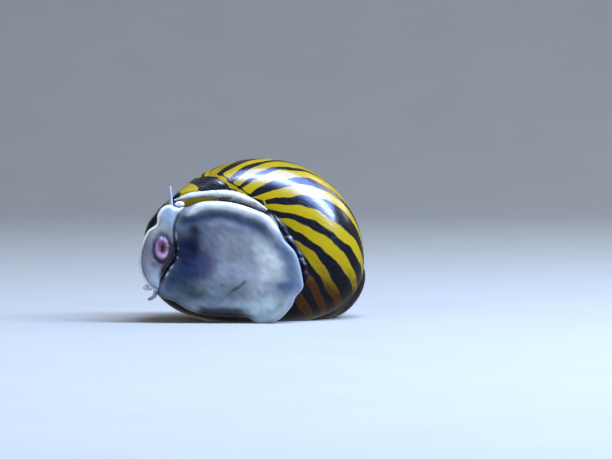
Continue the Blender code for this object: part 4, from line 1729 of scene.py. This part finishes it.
    def body(self) -> Surface:
        """Sole, head and the column behind them, as rings from the front's middle to the column's end.

        The rings of the back blend from the scaled outline into the column's oval, lie deeper
        behind the head and darken with their depth.

        Returns:
            The body with its marks.
        """
        angles = np.linspace(0, 2 * math.pi, self.around, endpoint=False)
        edge = self.edge_reach(angles)
        points, colour = self.front(angles, edge)
        rings, tints = [points], [colour]
        side, dark = colour[-1], np.asarray(self.colours.back)
        column_x = self.centre[0] + self.column_half[0] * np.cos(angles)
        column_z = self.centre[1] + self.column_half[1] * np.sin(angles)
        start = self.back[0][2]
        for blend, scale, depth in self.back:
            flat_x = (1 - blend) * (self.centre[0] + scale * edge * np.cos(angles)) + blend * column_x
            flat_z = (1 - blend) * (self.centre[1] + scale * edge * np.sin(angles)) + blend * column_z
            deeper = self.head_deeper * smooth(-flat_x, 8.6, 10.2) * min(1.0, (depth - start) / 0.35)
            rings.append(np.stack([flat_x, depth + deeper, flat_z], axis=-1)[None])
            shade = min(1.0, (depth - start) / 1.2)
            tints.append((side * (1 - shade) + dark * shade)[None])
        points = np.concatenate(rings)
        height = points[..., 2]
        # Painted highlights: pale wet specks along the sole's side of the groove.
        wet_glint = hill(self.groove_gap(points[..., 0], height), 0.05, 0.26) * (points[..., 1] < 1.2)
        wet_glint = wet_glint * smooth(height, 4.6, 5.6) * (1 - smooth(height, 11.4, 12.2))
        return Surface("body", points, {"tint": np.concatenate(tints), "wet_glint": wet_glint})

    def build(self) -> bpy.types.Object:
        """Make the skin and dress it.

        Returns:
            The piece.
        """
        surfaces = [self.body(), FEELERS[Side.LEFT].surface(), FEELERS[Side.RIGHT].surface()]
        piece = make_piece("skin", surfaces + [Mantle().surface()])
        piece.data.materials.append(SkinFinish().material())
        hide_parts("foot", "head", "mouth_lips", "tentacle_left", "tentacle_right", "mantle_edge")
        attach(piece, "root")
        return piece


# Share of the blue that is left in the sole colours that were too blue
SOLE_BLUE = 0.82
# Clouds and spots of the sole, the lowest first
SOLE_PATCHES = [
    Patch((-1.2, 7.8), (5.6, 4.9), (0.20, 0.235, 0.36), 0.9, 0.0, 0.45, SOLE_BLUE),
    Patch((-3.0, 9.2), (3.0, 2.0), (0.23, 0.24, 0.34), 0.7, 8.0, 0.7, SOLE_BLUE),
    Patch((0.2, 5.6), (2.8, 2.2), (0.27, 0.30, 0.42), 0.6, -20.0, 0.8, SOLE_BLUE),
    # Painted highlight: the pale grey patch on the right of the sole.
    Patch((2.2, 7.4), (1.25, 2.3), (0.57, 0.61, 0.630), 0.95, 24.0, 0.75),
    Patch((0.9, 9.3), (1.0, 1.4), (0.38, 0.44, 0.56), 0.5, 30.0, 0.8, SOLE_BLUE),
    Patch((-7.2, 8.2), (1.95, 3.9), (0.003, 0.008, 0.045), 1.0, -5.0, 0.72, SOLE_BLUE),
    Patch((-7.9, 5.7), (1.5, 2.4), (0.006, 0.020, 0.085), 0.92, 8.0, 0.7, SOLE_BLUE),
    Patch((-8.3, 7.7), (1.0, 2.0), (0.005, 0.014, 0.065), 0.95, 0.0, 0.6, SOLE_BLUE),
    Patch((-9.0, 5.2), (0.9, 1.3), (0.040, 0.062, 0.125), 0.9, -35.0, 0.7, SOLE_BLUE),
    Patch((-7.3, 11.4), (1.2, 1.2), (0.080, 0.098, 0.150), 0.75, 0.0, 0.8),
    Patch((-4.7, 9.3), (0.9, 1.9), (0.100, 0.110, 0.190), 0.6, 0.0, 0.8),
    Patch((-3.2, 10.9), (1.8, 0.6), (0.150, 0.170, 0.235), 0.5, 0.0, 0.8),
    Patch((-5.9, 6.3), (1.4, 1.4), (0.026, 0.036, 0.125), 0.75, 0.0, 0.8),
    Patch((-2.3, 6.0), (1.4, 1.0), (0.330, 0.345, 0.460), 0.65, 0.0, 0.8),
    Patch((0.9, 4.7), (1.3, 1.5), (0.400, 0.425, 0.490), 0.6, 0.0, 0.8),
    Patch((1.7, 6.0), (0.7, 0.8), (0.600, 0.630, 0.680), 0.6, 0.0, 0.8),
    Patch((-9.1, 4.0), (1.7, 1.4), (0.024, 0.042, 0.095), 0.85, 0.0, 0.75),
    Patch((4.7, 3.6), (0.7, 1.0), (0.050, 0.100, 0.210), 0.8, 0.0, 0.8),
    Patch((-8.7, 5.7), (1.4, 1.0), (0.012, 0.034, 0.115), 0.7, 0.0, 0.8, SOLE_BLUE),
    Patch((-5.1, 6.8), (0.9, 1.3), (0.045, 0.040, 0.140), 0.6, 0.0, 0.8, SOLE_BLUE),
    Patch((-6.6, 10.9), (0.55, 0.9), (0.006, 0.008, 0.010), 0.85, 10.0, 0.8, SOLE_BLUE),
    Patch((-4.4, 3.3), (3.9, 1.5), (0.13, 0.17, 0.27), 0.8, 0.0, 0.8, SOLE_BLUE),
    Patch((-7.2, 3.3), (1.7, 1.2), (0.035, 0.055, 0.085), 0.75, 0.0, 0.8, SOLE_BLUE),
    Patch((3.9, 4.0), (1.0, 0.8), (0.025, 0.070, 0.20), 0.8, 0.0, 0.6, SOLE_BLUE),
    Patch((3.4, 9.4), (0.6, 1.7), (0.070, 0.13, 0.29), 0.7, 28.0, 0.7, SOLE_BLUE),
    Patch((1.4, 2.3), (3.2, 1.25), (0.32, 0.385, 0.400), 0.8, 12.0, 0.8),
    # Painted shade: the dark strip along the bottom, where the sole's lower edge curls under.
    Patch((-3.0, 0.9), (3.3, 0.5), (0.014, 0.016, 0.028), 0.9, -3.0, 0.7, SOLE_BLUE),
    Patch((1.7, 2.2), (0.9, 0.6), (0.500, 0.600, 0.680), 0.6, 0.0, 0.8),
    Patch((1.8, -0.1), (1.8, 0.8), (0.23, 0.285, 0.300), 0.8, 0.0, 0.6),
    Patch((-1.7, 4.05), (1.0, 0.16), (0.020, 0.040, 0.022), 0.8, 32.0, 0.9, SOLE_BLUE),
    Patch((-0.9, 4.7), (0.35, 0.12), (0.015, 0.030, 0.016), 0.7, 45.0, 0.9, SOLE_BLUE),
    Patch((-3.6, 2.6), (1.2, 0.08), (0.08, 0.10, 0.15), 0.5, 35.0, 0.9, SOLE_BLUE),
    Patch((-3.4, 4.4), (0.22, 0.14), (0.05, 0.06, 0.04), 0.6, 0.0, 0.9, SOLE_BLUE),
    Patch((-6.6, 4.2), (0.30, 0.22), (0.03, 0.045, 0.045), 0.5, 0.0, 0.9, SOLE_BLUE),
    Patch((-5.9, 3.4), (0.45, 0.25), (0.04, 0.055, 0.05), 0.45, 20.0, 0.9, SOLE_BLUE),
    Patch((-7.0, 3.3), (0.30, 0.4), (0.04, 0.055, 0.05), 0.4, 0.0, 0.9, SOLE_BLUE),
]
# Wet glints along the groove, from the top down
GROOVE_GLINTS = [
    Patch((-8.68, 10.05), (0.11, 0.42), (0.66, 0.74, 0.80), 0.75, 0.0, 0.8),
    Patch((-8.46, 8.65), (0.07, 0.14), (0.60, 0.66, 0.74), 0.7, 0.0, 0.8),
    Patch((-8.52, 7.60), (0.09, 0.16), (0.66, 0.74, 0.78), 0.75, 0.0, 0.8),
    Patch((-9.20, 6.48), (0.09, 0.30), (0.50, 0.60, 0.72), 0.75, -40.0, 0.8),
    Patch((-9.72, 5.68), (0.13, 0.27), (0.60, 0.72, 0.76), 0.75, -35.0, 0.8),
]
# Clouds and shadows of the head, the lowest first
HEAD_PATCHES = [
    Patch((-9.7, 12.3), (1.5, 1.6), (0.34, 0.42, 0.58), 0.9, 0.0, 0.6),
    Patch((-12.0, 8.4), (1.3, 3.0), (0.16, 0.18, 0.255), 0.9, 4.0, 0.6),
    Patch((-11.3, 4.9), (1.3, 1.3), (0.32, 0.38, 0.48), 0.9, 0.0, 0.7),
    Patch((-8.6, 12.9), (0.8, 0.6), (0.42, 0.52, 0.72), 0.8, 30.0, 0.8),
    Patch((-10.9, 10.4), (0.9, 0.8), (0.33, 0.325, 0.32), 0.85, 0.0, 0.7),
    Patch((-11.9, 8.7), (0.6, 1.4), (0.20, 0.20, 0.215), 0.6, 0.0, 0.8),
    Patch((-10.6, 6.75), (0.85, 0.3), (0.14, 0.075, 0.070), 0.55, -8.0, 0.9),
    Patch((-9.15, 8.0), (0.55, 1.9), (0.014, 0.006, 0.008), 1.0, -2.0, 0.5),
    Patch((-9.75, 6.5), (0.5, 1.3), (0.014, 0.006, 0.008), 1.0, -34.0, 0.5),
    Patch((-9.95, 7.0), (0.6, 0.5), (0.075, 0.028, 0.030), 0.8, 30.0, 0.8),
    Patch((-10.4, 11.1), (0.9, 0.9), (0.33, 0.345, 0.34), 0.7, 0.0, 0.8),
    Patch((-9.3, 10.2), (0.45, 1.0), (0.19, 0.195, 0.23), 0.6, 0.0, 0.7),
    Patch((-11.7, 6.3), (0.35, 0.9), (0.33, 0.33, 0.47), 0.5, 10.0, 0.8),
]


@dataclass
class Eye:
    """White bulb with a blue-grey spot."""

    side: Side
    place: Triple
    spot: Pair
    half_size: Triple = (0.58, 0.48, 0.35)
    around: int = 64
    rows: int = 40
    end_turn: float = 0.03
    spot_strength: float = 0.8
    white: Triple = (0.66, 0.74, 0.90)
    blue: Triple = (0.16, 0.21, 0.42)

    def build(self) -> bpy.types.Object:
        """Make the bulb: an ellipsoid of rings along x, with its spot on the front.

        Returns:
            The piece.
        """
        turn = np.linspace(0, 2 * math.pi, self.around, endpoint=False)
        polar = np.linspace(self.end_turn, math.pi - self.end_turn, self.rows)[:, None]
        x = self.place[0] - self.half_size[0] * np.cos(polar) * np.ones_like(turn)
        y = self.place[1] - self.half_size[1] * np.sin(polar) * np.cos(turn)
        z = self.place[2] + self.half_size[2] * np.sin(polar) * np.sin(turn)
        away = np.hypot(x - self.spot[0], z - self.spot[1])
        dark = (1 - smooth(away, 0.03, 0.19)) * smooth(self.place[1] - y, 0.0, 0.15) * self.spot_strength
        colour = lay(np.asarray(self.white), dark, self.blue)
        name = f"eye_bulb_{self.side.value}"
        piece = make_piece(name, [Surface(name, np.stack([x, y, z], axis=-1), {"tint": colour})])
        piece.data.materials.append(GlazeFinish(f"{name}_wet", 0.12, 0.12, clear=0.3).material())
        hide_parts(f"eye_{self.side.value}")
        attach(piece, "root")
        return piece


# Studio


@dataclass(frozen=True)
class Lamp:
    """One soft area light: a square that faces the animal, or a rectangle laid along the glare."""

    name: str
    place: Triple
    size: float
    watts: float
    colour: Triple
    width: float = 0.0
    reflections_only: bool = False

    def build(self, aim: Vector, glare_turn: Euler) -> None:
        """Put the light into the scene.

        Args:
            aim: Point that a square faces.
            glare_turn: Rotation of a rectangle.
        """
        data = bpy.data.lights.new(self.name, "AREA")
        data.size = self.size
        data.energy = self.watts
        data.color = self.colour
        lamp = bpy.data.objects.new(self.name, data)
        lamp.location = self.place
        lamp.rotation_euler = (aim - Vector(self.place)).to_track_quat("-Z", "Y").to_euler()
        if self.width:
            data.shape = "RECTANGLE"
            data.size_y = self.width
            lamp.rotation_euler = glare_turn
        lamp.visible_diffuse = not self.reflections_only
        bpy.context.scene.collection.objects.link(lamp)


GLARE_COURSE = (0.685, 0.185, -0.456)
STRIP = Lamp("strip", (0.155, -0.088, 0.285), 0.42, 3.2, (0.62, 0.79, 1.0), width=0.06)
LAMPS = [
    Lamp("overhead", (0.0, -0.04, 0.32), 0.15, 0.12, (1.0, 0.96, 0.90)),
    STRIP,
    Lamp("veil", (0.140, -0.050, 0.305), 0.42, 6.4, (0.25, 0.40, 1.0), width=0.28, reflections_only=True),
    Lamp("front_left", (-0.22, -0.34, 0.16), 0.22, 0.40, (1.0, 0.99, 0.97)),
    Lamp("back_right", (0.28, 0.22, 0.24), 0.20, 0.45, (1.0, 0.97, 0.92)),
]


@dataclass
class Studio:
    """Pale floor, soft lights and the camera. The photograph's size and zero are in pixels."""

    distance: float = 0.45
    azimuth: float = math.radians(1.5)
    elevation: float = math.radians(2.5)
    image: Pair = (612.0, 459.0)
    mm_per_pixel: float = 0.115
    animal_zero: Pair = (251.0, 324.0)
    floor_half: float = 0.9
    bend_start: float = 0.30
    bend_radius: float = 0.25
    wall_top: float = 1.1
    floor_dark: Triple = (0.35, 0.35, 0.355)
    floor_pale: Triple = (0.39, 0.39, 0.395)
    sky: tuple[float, float, float, float] = (0.90, 0.91, 0.92, 1.0)
    sky_strength: float = 0.22

    def floor_grid(self) -> Array:
        """Level floor that curves up into a backdrop: a quarter circle between two straight runs.

        Returns:
            Array of rows by columns by three.
        """
        run = np.linspace(-self.floor_half, self.bend_start, 24)
        bend = np.linspace(0, math.pi / 2, 24)[1:]
        rise = np.linspace(self.bend_radius, self.wall_top, 12)[1:]
        wall = np.full(len(rise), self.bend_start + self.bend_radius)
        y = np.concatenate([run, self.bend_start + self.bend_radius * np.sin(bend), wall])
        z = np.concatenate([np.zeros(len(run)), self.bend_radius * (1 - np.cos(bend)), rise])
        x = np.linspace(-self.floor_half, self.floor_half, 20)
        grid_x, grid_y = np.meshgrid(x, y)
        return np.stack([grid_x, grid_y, np.repeat(z[:, None], len(x), axis=1)], axis=-1)

    def floor(self) -> None:
        """Make the floor, which is left out of the reflections so that the shell's black stays dark."""
        points = self.floor_grid()
        rows, columns = points.shape[:2]
        row, column = np.meshgrid(np.arange(rows - 1), np.arange(columns - 1), indexing="ij")
        start = row * columns + column
        quads = np.stack([start, start + 1, start + columns + 1, start + columns], axis=-1).reshape(-1, 4)
        mesh = bpy.data.meshes.new("floor")
        mesh.from_pydata(points.reshape(-1, 3).tolist(), [], quads.tolist())
        mesh.shade_smooth()
        floor = bpy.data.objects.new("floor", mesh)
        bpy.context.scene.collection.objects.link(floor)
        nodes = Nodes("floor_pale")
        nodes.surface(nodes.mix(nodes.noise(nodes.place(), 60.0, 4.0), self.floor_dark, self.floor_pale))
        nodes.gloss(Roughness=0.75)
        floor.data.materials.append(nodes.material)
        floor.visible_glossy = False

    def lights(self) -> None:
        """Light the animal with the lamps and a pale sky; the rectangles lie along the glare's course."""
        low, high = (Vector(corner) for corner in CAD_BOX)
        aim = (low + high) / 2
        along, facing = Vector(GLARE_COURSE).normalized(), (Vector(STRIP.place) - aim).normalized()
        facing = (facing - along * facing.dot(along)).normalized()
        glare_turn = Matrix((along, facing.cross(along), facing)).transposed().to_euler()
        for lamp in LAMPS:
            lamp.build(aim, glare_turn)
        world = bpy.data.worlds.new("studio")
        world.use_nodes = True
        world.node_tree.nodes["Background"].inputs["Color"].default_value = self.sky
        world.node_tree.nodes["Background"].inputs["Strength"].default_value = self.sky_strength
        bpy.context.scene.world = world
        bpy.context.scene.view_settings.view_transform = "Standard"

    def camera(self) -> None:
        """Camera at the photograph's framing: it looks at the image's middle on the sole's plane."""
        across = (self.image[0] / 2 - self.animal_zero[0]) * self.mm_per_pixel
        height = (self.animal_zero[1] - self.image[1] / 2) * self.mm_per_pixel
        target = Vector(PLACE.to_model(np.array([[across, 0.0, height]]))[0])
        back = Vector((
            math.sin(self.azimuth) * math.cos(self.elevation),
            -math.cos(self.azimuth) * math.cos(self.elevation),
            math.sin(self.elevation),
        ))
        data = bpy.data.cameras.new("camera")
        width = self.image[0] * self.mm_per_pixel * METRES
        data.sensor_fit = "HORIZONTAL"
        data.angle = 2 * math.atan(width / 2 / self.distance)
        data.clip_start = 0.01
        data.dof.use_dof = False
        seat = bpy.data.objects.new("camera", data)
        seat.location = target + back * self.distance
        seat.rotation_euler = (-back).to_track_quat("-Z", "Y").to_euler()
        bpy.context.scene.collection.objects.link(seat)
        bpy.context.scene.camera = seat


def main() -> None:
    """Build every piece in order and report it."""
    logging.basicConfig(level=logging.INFO, format="%(name)s: %(message)s")
    builders: list[tuple[str, Callable[[], bpy.types.Object]]] = [
        ("shell", Shell().build),
        ("callus", Callus().build),
        ("operculum", Operculum().build),
        ("skin", Flesh().build),
        ("left eye", Eye(Side.LEFT, (-8.3, 1.2, 13.72), (-8.3, 13.84)).build),
        ("right eye", Eye(Side.RIGHT, (-12.05, 2.6, 4.0), (-12.1, 4.0)).build),
    ]
    for label, build in builders:
        piece = build()
        LOG.info("%s: %d faces", label, len(piece.data.polygons))
    studio = Studio()
    studio.floor()
    studio.lights()
    studio.camera()


if __name__ == "__main__":
    main()
